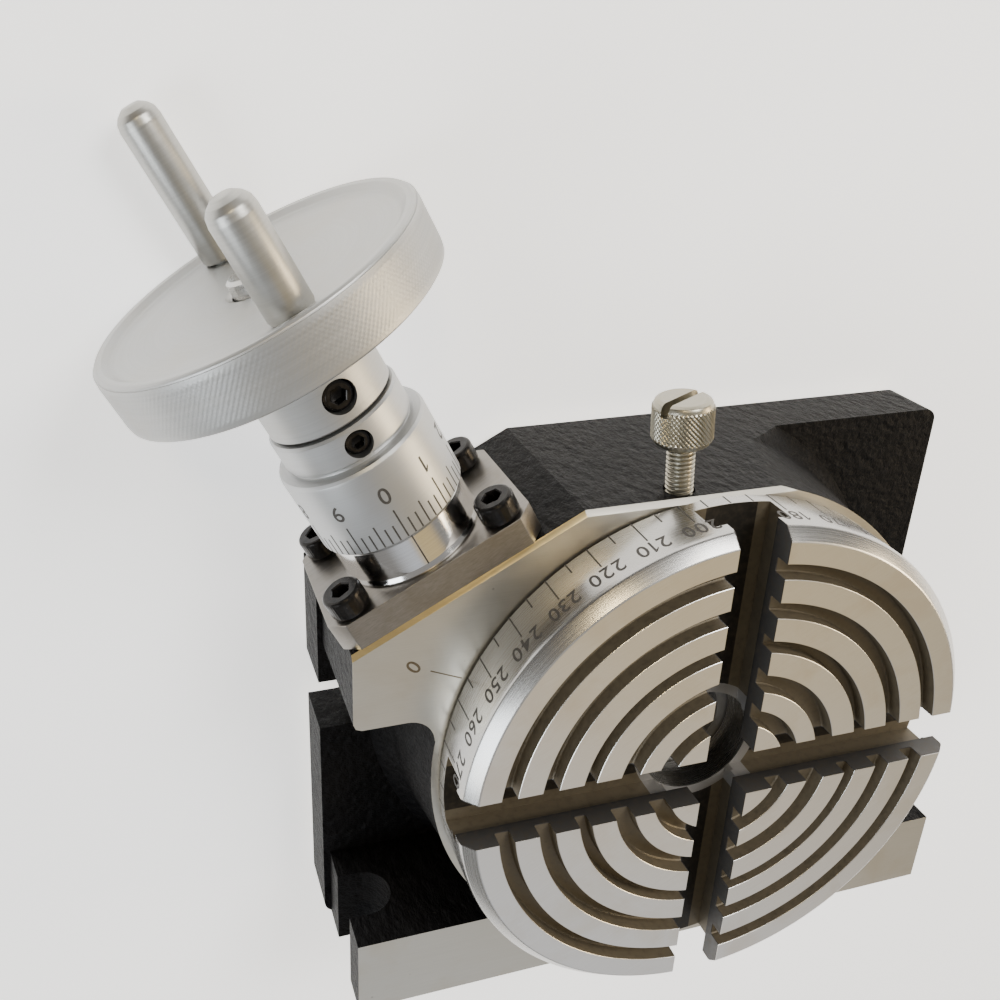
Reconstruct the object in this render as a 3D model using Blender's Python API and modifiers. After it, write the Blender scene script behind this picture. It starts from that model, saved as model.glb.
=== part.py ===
"""Small horizontal / vertical rotary table for a milling machine or drill press.

Metres, +Z up.  The origin is on the table's axis, at the underside of the
base.  X and Y run along the two T-slots.  The worm shaft lies level, at an
angle to the slots, and passes beside the table's axis.
"""
import bpy
import bmesh
from math import sin, cos, tan, pi, radians, sqrt, acos, atan2
from mathutils import Matrix, Vector

MM = 0.001
GAP = 0.3                   # clearance between pieces that touch, mm

# ---- table -----------------------------------------------------------------
TABLE_R = 50.0              # outside radius of the table
TABLE_TOP = 52.0            # height of the work face
TABLE_EDGE = 2.2            # bevel round the work face
RIM_Z = 38.3                # underside of the table's rim
SLOT_HALF = 4.78            # half width of a T-slot's neck
TEE_HALF = 7.35             # half width of its wide part
LIP = 4.6                   # thickness over the wide part
SLOT_FLOOR = 41.25
GROOVE_DEPTH = 3.0
GROOVES = ((43.5, 40.7), (36.1, 33.2), (28.6, 26.4), (21.7, 18.3), (14.4, 11.4))
BORE_R = 10.9               # centre bore under the slots
JOURNAL_R = 24.0            # large journal that turns in the body
JOURNAL_Z = 31.1
SPINDLE_R1 = 17.2
SPINDLE_R2 = 14.2           # seat of the worm wheel
SHOULDER_Z = 27.5
SPINDLE_END = 12.6
SLEEVE_SEAT_R = 11.8
SLEEVE_TOP = 34.0

# ---- worm drive ------------------------------------------------------------
WORM_AZ = radians(118.3)    # direction the worm shaft points, in plan
WORM_OFF = 25.5             # distance of its axis from the table's axis
WORM_Z = 23.7               # height of its axis
MODULE = 1.1
WHEEL_TEETH = 36
WORM_PITCH_R = WORM_OFF - MODULE * WHEEL_TEETH / 2.0
LEAD = pi * MODULE
BACKLASH = 0.20             # taken off each tooth's thickness
WHEEL_HALF_W = 3.5
FACE_S = 55.8               # front face of the worm housing, along the worm axis
PLATE_S = 61.75             # front face of the flange plate
PLATE_HALF_X = 19.45
PLATE_HALF_Y = 14.0
PLATE_CORNER = 2.8
SLEEVE_R = 12.7             # outside radius of the index sleeve
SLEEVE_END = 69.2
BEARING_R = 10.0
DIAL_S0, DIAL_S1, NECK_S1 = 69.5, 84.2, 90.4
DIAL_R, NECK_R = 13.4, 11.5
HUB_S0, RIM_S0, RIM_S1 = 90.75, 105.1, 115.1
HUB_R, RIM_R, RIM_IN_R = 10.9, 27.7, 25.6
DISH_S = 113.7              # floor of the wheel's dished front
WEB_BACK_S = 108.2
SHAFT_R = 5.5
TAIL_R = 4.0
SHAFT_END = 115.9
HANDLE_R, HANDLE_AT = 3.6, 21.6
HANDLE_ANGLE = 96.0         # of the short handle, degrees round the worm axis
SHORT_TOP, LONG_TOP = 131.8, 141.3

# ---- body casting ----------------------------------------------------------
BASE_HALF_X = 66.4
BASE_T = 12.2
SIDE_Y = 49.8               # flat side of the casting
FOOT_Y = -55.0              # machined face for upright use
FOOT_IN_Y = -38.0
FOOT_HALF_X = 65.0
BODY_R = 51.3
BODY_TOP = 37.8
HOUSING_X = -65.4           # left side of the worm housing
HOUSING_Y = 13.0
CLAMP_SLOT = 5.5            # half width of the clamping slots
CAVITY_R = 22.5
WEB_Z0, WEB_Z1, WEB_R = 28.8, 30.8, 17.6
COVER_R, COVER_T = 29.7, 3.7

# ---- lock screw ------------------------------------------------------------
LOCK_AZ = radians(94.4)     # direction it points, in plan
LOCK_X, LOCK_Z = -2.06, 33.5
LOCK_HEAD0, LOCK_HEAD1, LOCK_HEAD_R = 58.6, 67.1, 5.3

SEG = 48

# ---------------------------------------------------------------------------
for old in list(bpy.data.objects):
    bpy.data.objects.remove(old, do_unlink=True)

parts = bpy.data.collections.new("rotary_table_assembly")
cutters = bpy.data.collections.new("cutters")
bpy.context.scene.collection.children.link(parts)
bpy.context.scene.collection.children.link(cutters)


def make_material(name, colour, rough, metal):
    m = bpy.data.materials.new(name)
    m.use_nodes = True
    b = m.node_tree.nodes["Principled BSDF"]
    b.inputs["Base Color"].default_value = (colour[0], colour[1], colour[2], 1.0)
    b.inputs["Roughness"].default_value = rough
    b.inputs["Metallic"].default_value = metal
    m.diffuse_color = (colour[0], colour[1], colour[2], 1.0)
    return m


FINISH = {
    "black_paint": ((0.035, 0.033, 0.035), 0.55, 0.0),
    "ground_steel": ((0.60, 0.58, 0.54), 0.28, 1.0),
    "milled_steel": ((0.50, 0.49, 0.47), 0.38, 1.0),
    "polished_steel": ((0.70, 0.70, 0.70), 0.12, 1.0),
    "satin_aluminium": ((0.66, 0.67, 0.68), 0.35, 1.0),
    "black_oxide": ((0.045, 0.045, 0.05), 0.32, 1.0),
    "plated_steel": ((0.62, 0.60, 0.55), 0.25, 1.0),
    "bronze": ((0.55, 0.36, 0.16), 0.35, 1.0),
    "brass": ((0.70, 0.52, 0.22), 0.30, 1.0),
    "bright_steel": ((0.56, 0.56, 0.56), 0.25, 1.0),
}


def finish(obj, name, slot, parent=None, at=(0, 0, 0)):
    """Name a piece, give it a material of its own and put it in the assembly."""
    obj.name = name
    obj.data.name = name
    obj.data.materials.clear()
    obj.data.materials.append(make_material("mat_" + name, *FINISH[slot]))
    for c in list(obj.users_collection):
        c.objects.unlink(obj)
    parts.objects.link(obj)
    if parent is not None:
        obj.parent = parent
    obj.location = Vector(at) * MM
    return obj


def as_cutter(obj, name, parent=None):
    obj.name = name
    obj.hide_render = True
    obj.display_type = "WIRE"
    for c in list(obj.users_collection):
        c.objects.unlink(obj)
    cutters.objects.link(obj)
    if parent is not None:
        obj.parent = parent
    return obj


def new_object(name, mesh):
    o = bpy.data.objects.new(name, mesh)
    bpy.context.scene.collection.objects.link(o)
    return o


def turned(name, profile, steps=SEG, closed=False):
    """Turn a profile [(radius, height), ...] round the local Z axis.

    The profile runs down the outer side.  A closed profile makes a ring."""
    mesh = bpy.data.meshes.new(name)
    verts = [(r * MM, 0.0, z * MM) for r, z in profile]
    edges = [(i, i + 1) for i in range(len(verts) - 1)]
    if closed:
        edges.append((len(verts) - 1, 0))
    mesh.from_pydata(verts, edges, [])
    obj = new_object(name, mesh)
    mod = obj.modifiers.new("turn", "SCREW")
    mod.axis = "Z"
    mod.steps = steps
    mod.render_steps = steps
    mod.angle = 2 * pi
    mod.use_merge_vertices = True
    mod.merge_threshold = 0.00001
    mod.use_smooth_shade = False
    mod.use_normal_calculate = False
    return obj


def plate(name, outline, z0, z1, holes=()):
    """A flat outline with straight sides between two heights."""
    curve = bpy.data.curves.new(name, "CURVE")
    curve.dimensions = "2D"
    curve.fill_mode = "BOTH"
    curve.extrude = (z1 - z0) * 0.5 * MM
    for loop in (outline,) + tuple(holes):
        sp = curve.splines.new("POLY")
        sp.points.add(len(loop) - 1)
        for p, (x, y) in zip(sp.points, loop):
            p.co = (x * MM, y * MM, 0.0, 1.0)
        sp.use_cyclic_u = True
    tmp = new_object(name + "_outline", curve)
    dg = bpy.context.evaluated_depsgraph_get()
    mesh = bpy.data.meshes.new_from_object(tmp.evaluated_get(dg))
    bpy.data.objects.remove(tmp, do_unlink=True)
    bm = bmesh.new()
    bm.from_mesh(mesh)
    bmesh.ops.remove_doubles(bm, verts=bm.verts, dist=0.000001)
    bmesh.ops.dissolve_limit(bm, angle_limit=0.001, verts=bm.verts, edges=bm.edges)
    bmesh.ops.translate(bm, verts=bm.verts, vec=(0, 0, (z0 + z1) * 0.5 * MM))
    bmesh.ops.recalc_face_normals(bm, faces=bm.faces)
    bm.to_mesh(mesh)
    bm.free()
    return new_object(name, mesh)


def block(name, lo, hi):
    mesh = bpy.data.meshes.new(name)
    bm = bmesh.new()
    bmesh.ops.create_cube(bm, size=1.0)
    size = [(h - l) * MM for l, h in zip(lo, hi)]
    mid = [(h + l) * 0.5 * MM for l, h in zip(lo, hi)]
    bmesh.ops.scale(bm, vec=size, verts=bm.verts)
    bmesh.ops.translate(bm, vec=mid, verts=bm.verts)
    bm.to_mesh(mesh)
    bm.free()
    return new_object(name, mesh)


def rod(name, r, z0, z1, segs=24, r2=None, centre=(0.0, 0.0)):
    """A cylinder (or cone) along the local Z axis."""
    mesh = bpy.data.meshes.new(name)
    bm = bmesh.new()
    bmesh.ops.create_cone(bm, cap_ends=True, segments=segs, radius1=r * MM,
                          radius2=(r if r2 is None else r2) * MM,
                          depth=(z1 - z0) * MM)
    bmesh.ops.translate(bm, verts=bm.verts,
                        vec=(centre[0] * MM, centre[1] * MM, (z0 + z1) * 0.5 * MM))
    bm.to_mesh(mesh)
    bm.free()
    return new_object(name, mesh)


def boolean(obj, tool, operation="DIFFERENCE"):
    m = obj.modifiers.new(tool.name, "BOOLEAN")
    m.operation = operation
    m.solver = "EXACT"
    m.object = tool


def cut(obj, *tools):
    for t in tools:
        boolean(obj, t)


def axis_empty(name, location, rotation):
    e = bpy.data.objects.new(name, None)
    e.empty_display_size = 0.01
    e.matrix_world = Matrix.Translation(Vector(location) * MM) @ rotation.to_4x4()
    parts.objects.link(e)
    return e


# Frame of the worm shaft: local Z runs out along the shaft, local Y is up and
# local X points sideways, away from the table's axis.
A = Vector((cos(WORM_AZ), sin(WORM_AZ), 0.0))
E1 = Vector((-sin(WORM_AZ), cos(WORM_AZ), 0.0))
UP = Vector((0.0, 0.0, 1.0))
worm_rot = Matrix((E1, UP, A)).transposed()
worm_axis = axis_empty("worm_axis", E1 * WORM_OFF + UP * WORM_Z, worm_rot)
# Frame of the lock screw: local Z runs out through the flat side of the body.
LU = Vector((cos(LOCK_AZ), sin(LOCK_AZ), 0.0))
lock_rot = Matrix((UP.cross(LU), UP, LU)).transposed()
lock_axis = axis_empty("lock_axis", (LOCK_X, 0.0, LOCK_Z), lock_rot)
bpy.context.view_layer.update()


def circle(cx, cy, r, n, a0=0.0, a1=2 * pi, ends=False):
    k = n if not ends else n - 1
    return [(cx + r * cos(a0 + (a1 - a0) * i / k), cy + r * sin(a0 + (a1 - a0) * i / k))
            for i in range(n)]


# ============================================================================
# Table
# ============================================================================
face = [(0.0, TABLE_TOP)]
for ro, ri in reversed(GROOVES):
    face += [(ri, TABLE_TOP), (ri, TABLE_TOP - GROOVE_DEPTH),
             (ro, TABLE_TOP - GROOVE_DEPTH), (ro, TABLE_TOP)]
table = turned("rotary_table", face + [
    (TABLE_R - TABLE_EDGE, TABLE_TOP), (TABLE_R, TABLE_TOP - TABLE_EDGE),
    (TABLE_R, RIM_Z), (JOURNAL_R, RIM_Z), (JOURNAL_R, JOURNAL_Z),
    (SPINDLE_R1, JOURNAL_Z), (SPINDLE_R1, SHOULDER_Z), (SPINDLE_R2, SHOULDER_Z),
    (SPINDLE_R2, SPINDLE_END), (0.0, SPINDLE_END)])
tee_cut = []
for label, turn in (("x", 0.0), ("y", pi / 2)):
    n = as_cutter(block("slot_neck_" + label, (-60, -SLOT_HALF, SLOT_FLOOR + 1),
                        (60, SLOT_HALF, TABLE_TOP + 4)), "slot_neck_" + label)
    w = as_cutter(block("slot_tee_" + label, (-60, -TEE_HALF, SLOT_FLOOR),
                        (60, TEE_HALF, TABLE_TOP - LIP)), "slot_tee_" + label)
    n.rotation_euler.z = turn
    w.rotation_euler.z = turn
    tee_cut += [n, w]
cut(table, *tee_cut)
bore = as_cutter(turned("table_bore", [
    (0.0, SLOT_FLOOR + 2), (BORE_R, SLOT_FLOOR + 2), (BORE_R, SLEEVE_TOP),
    (SLEEVE_SEAT_R, SLEEVE_TOP), (SLEEVE_SEAT_R, SPINDLE_END - 2),
    (0.0, SPINDLE_END - 2)], steps=36), "table_bore")
bore.rotation_euler.z = radians(2.0)
cut(table, bore)
key_cut = as_cutter(block("spindle_keyway", (SPINDLE_R2 - 1.3, -1.8, 19.0),
                          (SPINDLE_R2 + 1.0, 1.8, SHOULDER_Z - 0.3)), "spindle_keyway")
cut(table, key_cut)
finish(table, "rotary_table", "ground_steel")

sleeve = turned("centre_sleeve", [
    (11.5, 33.7), (11.5, 13.0), (8.2, 13.0), (8.9, 33.7)], steps=32, closed=True)
finish(sleeve, "centre_sleeve", "bright_steel")

# worm wheel: involute teeth, each one skewed to the worm's lead angle
def involute_profile():
    rp = MODULE * WHEEL_TEETH / 2.0
    rb = rp * cos(radians(20.0))
    tip, root = rp + 1.05, rp - 1.45
    half = (pi * MODULE / 2.0 - BACKLASH) / 2.0 / rp
    inv_p = tan(radians(20.0)) - radians(20.0)

    def half_angle(r):
        if r <= rb:
            r = rb
        al = acos(rb / r)
        return half + inv_p - (tan(al) - al)
    radii = [root, rp - 0.2, tip]
    out = []
    for t in range(WHEEL_TEETH):
        # a space, not a tooth, faces the worm
        centre = 2 * pi * (t + 0.5) / WHEEL_TEETH
        for r in radii:
            out.append((r, centre - half_angle(r)))
        for r in reversed(radii):
            out.append((r, centre + half_angle(r)))
    return out


mesh = bpy.data.meshes.new("worm_wheel")
bm = bmesh.new()
prof = involute_profile()
mesh_az = WORM_AZ + pi / 2
lead_tan = LEAD / (2 * pi * WORM_PITCH_R)
skew = lead_tan * WHEEL_HALF_W / (MODULE * WHEEL_TEETH / 2.0)
rings = []
for side in (-1, 1):
    z = (WORM_Z + side * WHEEL_HALF_W) * MM
    rings.append([bm.verts.new((r * MM * cos(mesh_az + a + side * skew),
                                r * MM * sin(mesh_az + a + side * skew), z))
                  for r, a in prof])
n = len(prof)
for i in range(n):
    j = (i + 1) % n
    bm.faces.new((rings[0][i], rings[0][j], rings[1][j], rings[1][i]))
bm.faces.new(list(reversed(rings[0])))
bm.faces.new(rings[1])
bm.to_mesh(mesh)
bm.free()
wheel = new_object("worm_wheel", mesh)
wheel_bore = as_cutter(rod("wheel_bore", SPINDLE_R2 + GAP, 10, 40, 32), "wheel_bore")
wheel_key_cut = as_cutter(block("wheel_keyway", (SPINDLE_R2 - 2, -1.8, 10),
                                (SPINDLE_R2 + 1.7, 1.8, 40)), "wheel_keyway")
cut(wheel, wheel_bore, wheel_key_cut)
finish(wheel, "worm_wheel", "bronze")

key = block("wheel_key", (SPINDLE_R2 - 1.0, -1.5, 20.4), (SPINDLE_R2 + 1.4, 1.5, 27.0))
finish(key, "wheel_key", "bright_steel")

nut = turned("spindle_nut", [(19.0, 19.9), (19.0, 14.4), (SPINDLE_R2 + GAP, 14.4),
                             (SPINDLE_R2 + GAP, 19.9)], steps=32, closed=True)
for i in range(4):
    s = as_cutter(block("nut_notch_%d" % (i + 1), (17.4, -1.8, 12), (22, 1.8, 17.4)),
                  "nut_notch_%d" % (i + 1))
    s.rotation_euler.z = radians(45 + 90 * i)
    cut(nut, s)
finish(nut, "spindle_nut", "black_oxide")

washer = turned("thrust_washer", [(19.5, 28.5), (19.5, 27.5), (WEB_R, 27.5),
                                  (WEB_R, 28.5)], steps=32, closed=True)
finish(washer, "thrust_washer", "bronze")

# ============================================================================
# Body casting
# ============================================================================
def rounded_rect(x0, y0, x1, y1, r, n=4):
    pts = []
    for cx, cy, a in ((x1 - r, y0 + r, -pi / 2), (x1 - r, y1 - r, 0.0),
                      (x0 + r, y1 - r, pi / 2), (x0 + r, y0 + r, pi)):
        pts += circle(cx, cy, r, n, a, a + pi / 2, ends=True)
    return pts


body = plate("base_casting", rounded_rect(-BASE_HALF_X, FOOT_Y, BASE_HALF_X, SIDE_Y, 2.5),
             0.0, BASE_T)
round_wall = as_cutter(turned("round_wall", [
    (0.0, BODY_TOP), (BODY_R, BODY_TOP), (BODY_R, 33.0), (53.6, 16.0), (56.5, BASE_T - 0.8),
    (56.5, 2.0), (0.0, 2.0)]), "round_wall")
boolean(body, round_wall, "UNION")
# plan of the worm housing: left side, flat side and an inside fillet; its front
# face is machined afterwards, square to the worm, right down to the underside
fil = 5.0
fx, fy = -54.6, HOUSING_Y - fil
housing_plan = [(HOUSING_X, HOUSING_Y + 1.5), (HOUSING_X + 1.5, HOUSING_Y)]
housing_plan += circle(fx - 1.2, fy, fil, 6, pi / 2, 0.0, ends=True)
housing_plan += [(-48.0, fy), (-30.0, 0.0), (0.0, 30.0), (0.0, SIDE_Y + 3),
                 (HOUSING_X, SIDE_Y + 3)]
housing = as_cutter(plate("worm_housing", housing_plan, 2.0, BODY_TOP), "worm_housing")
boolean(body, housing, "UNION")
foot = as_cutter(block("upright_foot", (-FOOT_HALF_X, FOOT_Y, 2.0),
                       (FOOT_HALF_X, FOOT_IN_Y, BODY_TOP)), "upright_foot")
boolean(body, foot, "UNION")
trim = as_cutter(block("side_trim", (-80, SIDE_Y, -5), (80, 80, 60)), "side_trim")
face_trim = as_cutter(block("face_trim", (-60, -45, FACE_S), (60, 45, FACE_S + 60)),
                      "face_trim", worm_axis)
foot_trim = as_cutter(block("foot_trim", (-80, FOOT_Y - 20, -5), (80, FOOT_Y, 60)), "foot_trim")
cut(body, trim, face_trim, foot_trim)
# clamping slots at both ends of the base and of the upright foot
for side, label in ((-1, "left"), (1, "right")):
    cx = side * 60.9
    far = side * 75.0
    arc = circle(cx, 0.0, CLAMP_SLOT, 9, pi / 2 if side > 0 else -pi / 2,
                 pi * 1.5 if side > 0 else pi / 2, ends=True)
    c = as_cutter(plate("base_slot_" + label,
                        arc + ([(far, -CLAMP_SLOT), (far, CLAMP_SLOT)] if side > 0 else
                               [(far, CLAMP_SLOT), (far, -CLAMP_SLOT)]),
                        -3.0, 16.0), "base_slot_" + label)
    cut(body, c)
    f = as_cutter(plate("foot_slot_" + label, [
        (x, y + 25.0) for x, y in arc] + ([(far, 25.0 - CLAMP_SLOT), (far, 25.0 + CLAMP_SLOT)]
                                         if side > 0 else
                                         [(far, 25.0 + CLAMP_SLOT), (far, 25.0 - CLAMP_SLOT)]),
                        -30.0, 30.0), "foot_slot_" + label)
    f.rotation_euler.x = pi / 2
    f.location = (0.0, -50.0 * MM, 0.0)
    cut(body, f)
inside = as_cutter(turned("body_bore", [
    (0.0, BODY_TOP + 3), (JOURNAL_R + 0.35, BODY_TOP + 3), (JOURNAL_R + 0.35, WEB_Z1),
    (WEB_R, WEB_Z1), (WEB_R, WEB_Z0), (CAVITY_R, WEB_Z0), (CAVITY_R, COVER_T + GAP),
    (COVER_R + GAP, COVER_T + GAP), (COVER_R + GAP, -3.0), (0.0, -3.0)]), "body_bore")
cut(body, inside)
worm_bore = as_cutter(turned("worm_bore", [
    (0.0, FACE_S + 5), (BEARING_R + GAP, FACE_S + 5), (BEARING_R + GAP, 16.9),
    (7.2, 16.9), (7.2, -24.0), (0.0, -24.0)], steps=32), "worm_bore", worm_axis)
cut(body, worm_bore)
SCREW_X, SCREW_Y = 14.5, 10.4
for i, (sx, sy) in enumerate(((1, 1), (-1, 1), (-1, -1), (1, -1))):
    h = as_cutter(rod("flange_hole_%d" % (i + 1), 2.3, 43.0, FACE_S + 5, 12,
                      centre=(sx * SCREW_X, sy * SCREW_Y)), "flange_hole_%d" % (i + 1), worm_axis)
    cut(body, h)
lock_hole = as_cutter(rod("lock_hole", 2.8, 20.0, 60.0, 16), "lock_hole", lock_axis)
cut(body, lock_hole)
COVER_PCD = 26.2
for i in range(4):
    a = radians(45 + 90 * i)
    h = as_cutter(rod("cover_tap_%d" % (i + 1), 1.8, 2.0, 12.0, 12,
                      centre=(COVER_PCD * cos(a), COVER_PCD * sin(a))), "cover_tap_%d" % (i + 1))
    cut(body, h)
finish(body, "base_casting", "black_paint")

cover = turned("bottom_cover", [(0.0, COVER_T), (COVER_R, COVER_T), (COVER_R, 0.0), (0.0, 0.0)])
for i in range(4):
    a = radians(45 + 90 * i)
    c = as_cutter(turned("cover_hole_%d" % (i + 1), [
        (0.0, 6.0), (1.8, 6.0), (1.8, 1.8), (3.6, 0.0), (3.6, -1.0), (0.0, -1.0)], steps=12),
        "cover_hole_%d" % (i + 1))
    c.location = (COVER_PCD * cos(a) * MM, COVER_PCD * sin(a) * MM, 0.0)
    cut(cover, c)
finish(cover, "bottom_cover", "milled_steel")
for i in range(4):
    a = radians(45 + 90 * i)
    s = turned("cover_screw_%d" % (i + 1), [
        (0.0, 11.0), (1.2, 11.0), (1.5, 10.6), (1.5, 1.7), (3.0, 0.2), (0.0, 0.2)], steps=12)
    d = as_cutter(block("cover_screw_slot_%d" % (i + 1), (-4, -0.4, -0.5), (4, 0.4, 0.9)),
                  "cover_screw_slot_%d" % (i + 1))
    d.location = (COVER_PCD * cos(a) * MM, COVER_PCD * sin(a) * MM, 0.0)
    d.rotation_euler.z = a
    cut(s, d)
    finish(s, "cover_screw_%d" % (i + 1), "black_oxide",
           at=(COVER_PCD * cos(a), COVER_PCD * sin(a), 0.0))

# ============================================================================
# Worm shaft and its bearings (local frame of worm_axis)
# ============================================================================
def worm_mesh(name):
    """Shaft with a single-start right-hand thread.

    The thread's grid follows the helix, so one turn closes on the next pitch.
    Its height fades in and out over the first and last turn."""
    K = 18                                   # steps in one turn
    half_p = LEAD / 2.0
    tip_r, root_r = WORM_PITCH_R + 1.05, 4.3
    def half_t(r):
        return (pi * MODULE / 2.0 - BACKLASH) / 2.0 - (r - WORM_PITCH_R) * tan(radians(20.0))
    ht, hr = half_t(tip_r), half_t(root_r)
    # one pitch of the axial section: thread at 0, root between
    section = [(-hr, root_r), (-ht, tip_r), (ht, tip_r), (hr, root_r)]
    PITCHES = 5
    start = -0.5 * PITCHES * LEAD
    bm = bmesh.new()
    # the helix passes s = 0 on the side that faces the table's axis (local -X)
    phase = pi
    grid = []
    rows = []                                # (s offset, radius) along the axis at step 0
    for p in range(PITCHES):
        for off, r in section:
            rows.append((start + (p + 0.5) * LEAD + off, r, p))
    rows = [(start + 0.0 * LEAD, root_r, 0)] + rows
    per = len(section)
    # thread centre lines at the phase angle must sit at multiples of the lead
    shift = 0.0 if PITCHES % 2 else -0.5 * LEAD
    def height(turns_from_start, total):
        f = min(turns_from_start, total - turns_from_start)
        return max(0.0, min(1.0, (f - 0.15) / 0.6))
    verts = {}
    total = PITCHES
    cols = []
    for j in range(K):
        ang = phase + 2 * pi * j / K
        col = []
        for (s, r, p) in [(start + (q // per + 0.5) * LEAD + section[q % per][0],
                           section[q % per][1], q // per) for q in range(PITCHES * per)]:
            adv = s + shift + LEAD * j / K
            turn = (p + 0.5) + j / K
            h = height(turn, total + 1)
            rr = root_r + (r - root_r) * h
            col.append(bm.verts.new((rr * cos(ang) * MM, rr * sin(ang) * MM, adv * MM)))
        cols.append(col)
    m = len(cols[0])
    for j in range(K):
        if j < K - 1:
            a, b = cols[j], cols[j + 1]
            for i in range(m - 1):
                bm.faces.new((a[i], b[i], b[i + 1], a[i + 1]))
        else:
            a, b = cols[j], cols[0]
            for i in range(m - 1 - per):
                bm.faces.new((a[i], b[i + per], b[i + per + 1], a[i + 1]))
    # the last column's end rows meet the first column's rows one pitch on
    # plain ends: rings of the shaft on both sides
    def ring(s, r):
        return [bm.verts.new((r * cos(phase + 2 * pi * j / K) * MM,
                              r * sin(phase + 2 * pi * j / K) * MM, s * MM)) for j in range(K)]
    def band(lo, hi):
        for j in range(K):
            k = (j + 1) % K
            bm.faces.new((lo[j], lo[k], hi[k], hi[j]))
    s_lo = min(v.co.z for v in cols[0]) / MM - 0.5
    s_hi = max(v.co.z for v in cols[K - 1]) / MM + 0.5
    low, high = ring(s_lo, root_r), ring(s_hi, root_r)
    for j in range(K - 1):
        bm.faces.new((low[j], low[j + 1], cols[j + 1][0], cols[j][0]))
        bm.faces.new((cols[j][m - 1], cols[j + 1][m - 1], high[j + 1], high[j]))
    # closing strips at the seam, flat on one facet
    bm.faces.new([low[K - 1], low[0]] + [cols[0][i] for i in range(0, per + 1)] + [cols[K - 1][0]])
    last = cols[K - 1]
    # upper seam: last column rows beyond the first column's end
    tail = [last[i] for i in range(m - 1 - per, m)]
    bm.faces.new([cols[0][m - 1]] + [high[0], high[K - 1]] + list(reversed(tail)))
    # shoulders of the shaft, inner end
    def extend(first, path, flip=False):
        prev = first
        for s, r in path:
            nxt = ring(s, r)
            if flip:
                band(nxt, prev)
            else:
                band(prev, nxt)
            prev = nxt
        bm.faces.new(prev if not flip else list(reversed(prev)))
    extend(low, [(s_lo - 0.4, 4.0), (-21.4, 4.0), (-21.9, 3.5)], flip=True)
    extend(high, [(13.2, root_r), (13.2 + 0.01, 6.6), (16.6, 6.6), (16.61, SHAFT_R),
                  (69.0, SHAFT_R), (69.01, TAIL_R), (SHAFT_END - 0.6, TAIL_R),
                  (SHAFT_END, TAIL_R - 0.6)])
    bmesh.ops.recalc_face_normals(bm, faces=bm.faces)
    mesh = bpy.data.meshes.new(name)
    bm.to_mesh(mesh)
    bm.free()
    return mesh, s_lo, s_hi


wm, worm_lo, worm_hi = worm_mesh("worm_shaft")
worm = new_object("worm_shaft", wm)
finish(worm, "worm_shaft", "bright_steel", worm_axis)

bush = turned("rear_bush", [(6.9, -14.5), (6.9, -22.5), (4.3, -22.5), (4.3, -14.5)],
              steps=24, closed=True)
finish(bush, "rear_bush", "bronze", worm_axis)

isleeve = turned("index_sleeve", [
    (SLEEVE_R - 0.5, SLEEVE_END), (SLEEVE_R, SLEEVE_END - 0.5), (SLEEVE_R, PLATE_S + 0.9),
    (SLEEVE_R - 0.6, PLATE_S + GAP), (BEARING_R, PLATE_S + GAP), (BEARING_R, 17.3),
    (SHAFT_R + GAP, 17.3), (SHAFT_R + GAP, SLEEVE_END)], steps=32, closed=True)
finish(isleeve, "index_sleeve", "polished_steel", worm_axis)

c = PLATE_CORNER
px, py = PLATE_HALF_X, PLATE_HALF_Y
flange = plate("flange_plate", [
    (px - c, -py), (px, -py + c), (px, py - c), (px - c, py),
    (-px + c, py), (-px, py - c), (-px, -py + c), (-px + c, -py)], FACE_S + GAP, PLATE_S)
fb = as_cutter(rod("flange_bore", BEARING_R + GAP, FACE_S - 5, PLATE_S + 5, 32),
               "flange_bore", worm_axis)
cut(flange, fb)
for i, (sx, sy) in enumerate(((1, 1), (-1, 1), (-1, -1), (1, -1))):
    h = as_cutter(rod("plate_hole_%d" % (i + 1), 2.3, FACE_S - 5, PLATE_S + 5, 12,
                      centre=(sx * SCREW_X, sy * SCREW_Y)), "plate_hole_%d" % (i + 1), worm_axis)
    cut(flange, h)
finish(flange, "flange_plate", "milled_steel", worm_axis)

for i, (sx, sy) in enumerate(((1, 1), (-1, 1), (-1, -1), (1, -1))):
    s0 = PLATE_S + GAP
    s = turned("flange_screw_%d" % (i + 1), [
        (0.0, s0 + 4.0), (3.2, s0 + 4.0), (3.5, s0 + 3.7), (3.5, s0), (2.0, s0),
        (2.0, 44.4), (1.6, 44.0), (0.0, 44.0)], steps=16)
    hx = rod("flange_screw_socket_%d" % (i + 1), 1.73, s0 + 1.9, s0 + 6.0, 6)
    as_cutter(hx, "flange_screw_socket_%d" % (i + 1), worm_axis)
    hx.location = (sx * SCREW_X * MM, sy * SCREW_Y * MM, 0.0)
    cut(s, hx)
    finish(s, "flange_screw_%d" % (i + 1), "black_oxide", worm_axis,
           at=(sx * SCREW_X, sy * SCREW_Y, 0.0))

tw = turned("worm_thrust_washer", [(8.6, 70.8), (8.6, 69.6), (TAIL_R + GAP, 69.6),
                                   (TAIL_R + GAP, 70.8)], steps=24, closed=True)
finish(tw, "worm_thrust_washer", "bronze", worm_axis)
an = turned("adjusting_nut", [(8.4, 75.0), (8.4, 71.1), (TAIL_R + GAP, 71.1),
                              (TAIL_R + GAP, 75.0)], steps=24, closed=True)
for side in (-1, 1):
    f = as_cutter(block("nut_flat_%d" % (1 if side < 0 else 2), (-10, 6.9 if side > 0 else -12, 70),
                        (10, 12 if side > 0 else -6.9, 77)),
                  "nut_flat_%d" % (1 if side < 0 else 2), worm_axis)
    cut(an, f)
finish(an, "adjusting_nut", "black_oxide", worm_axis)

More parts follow.
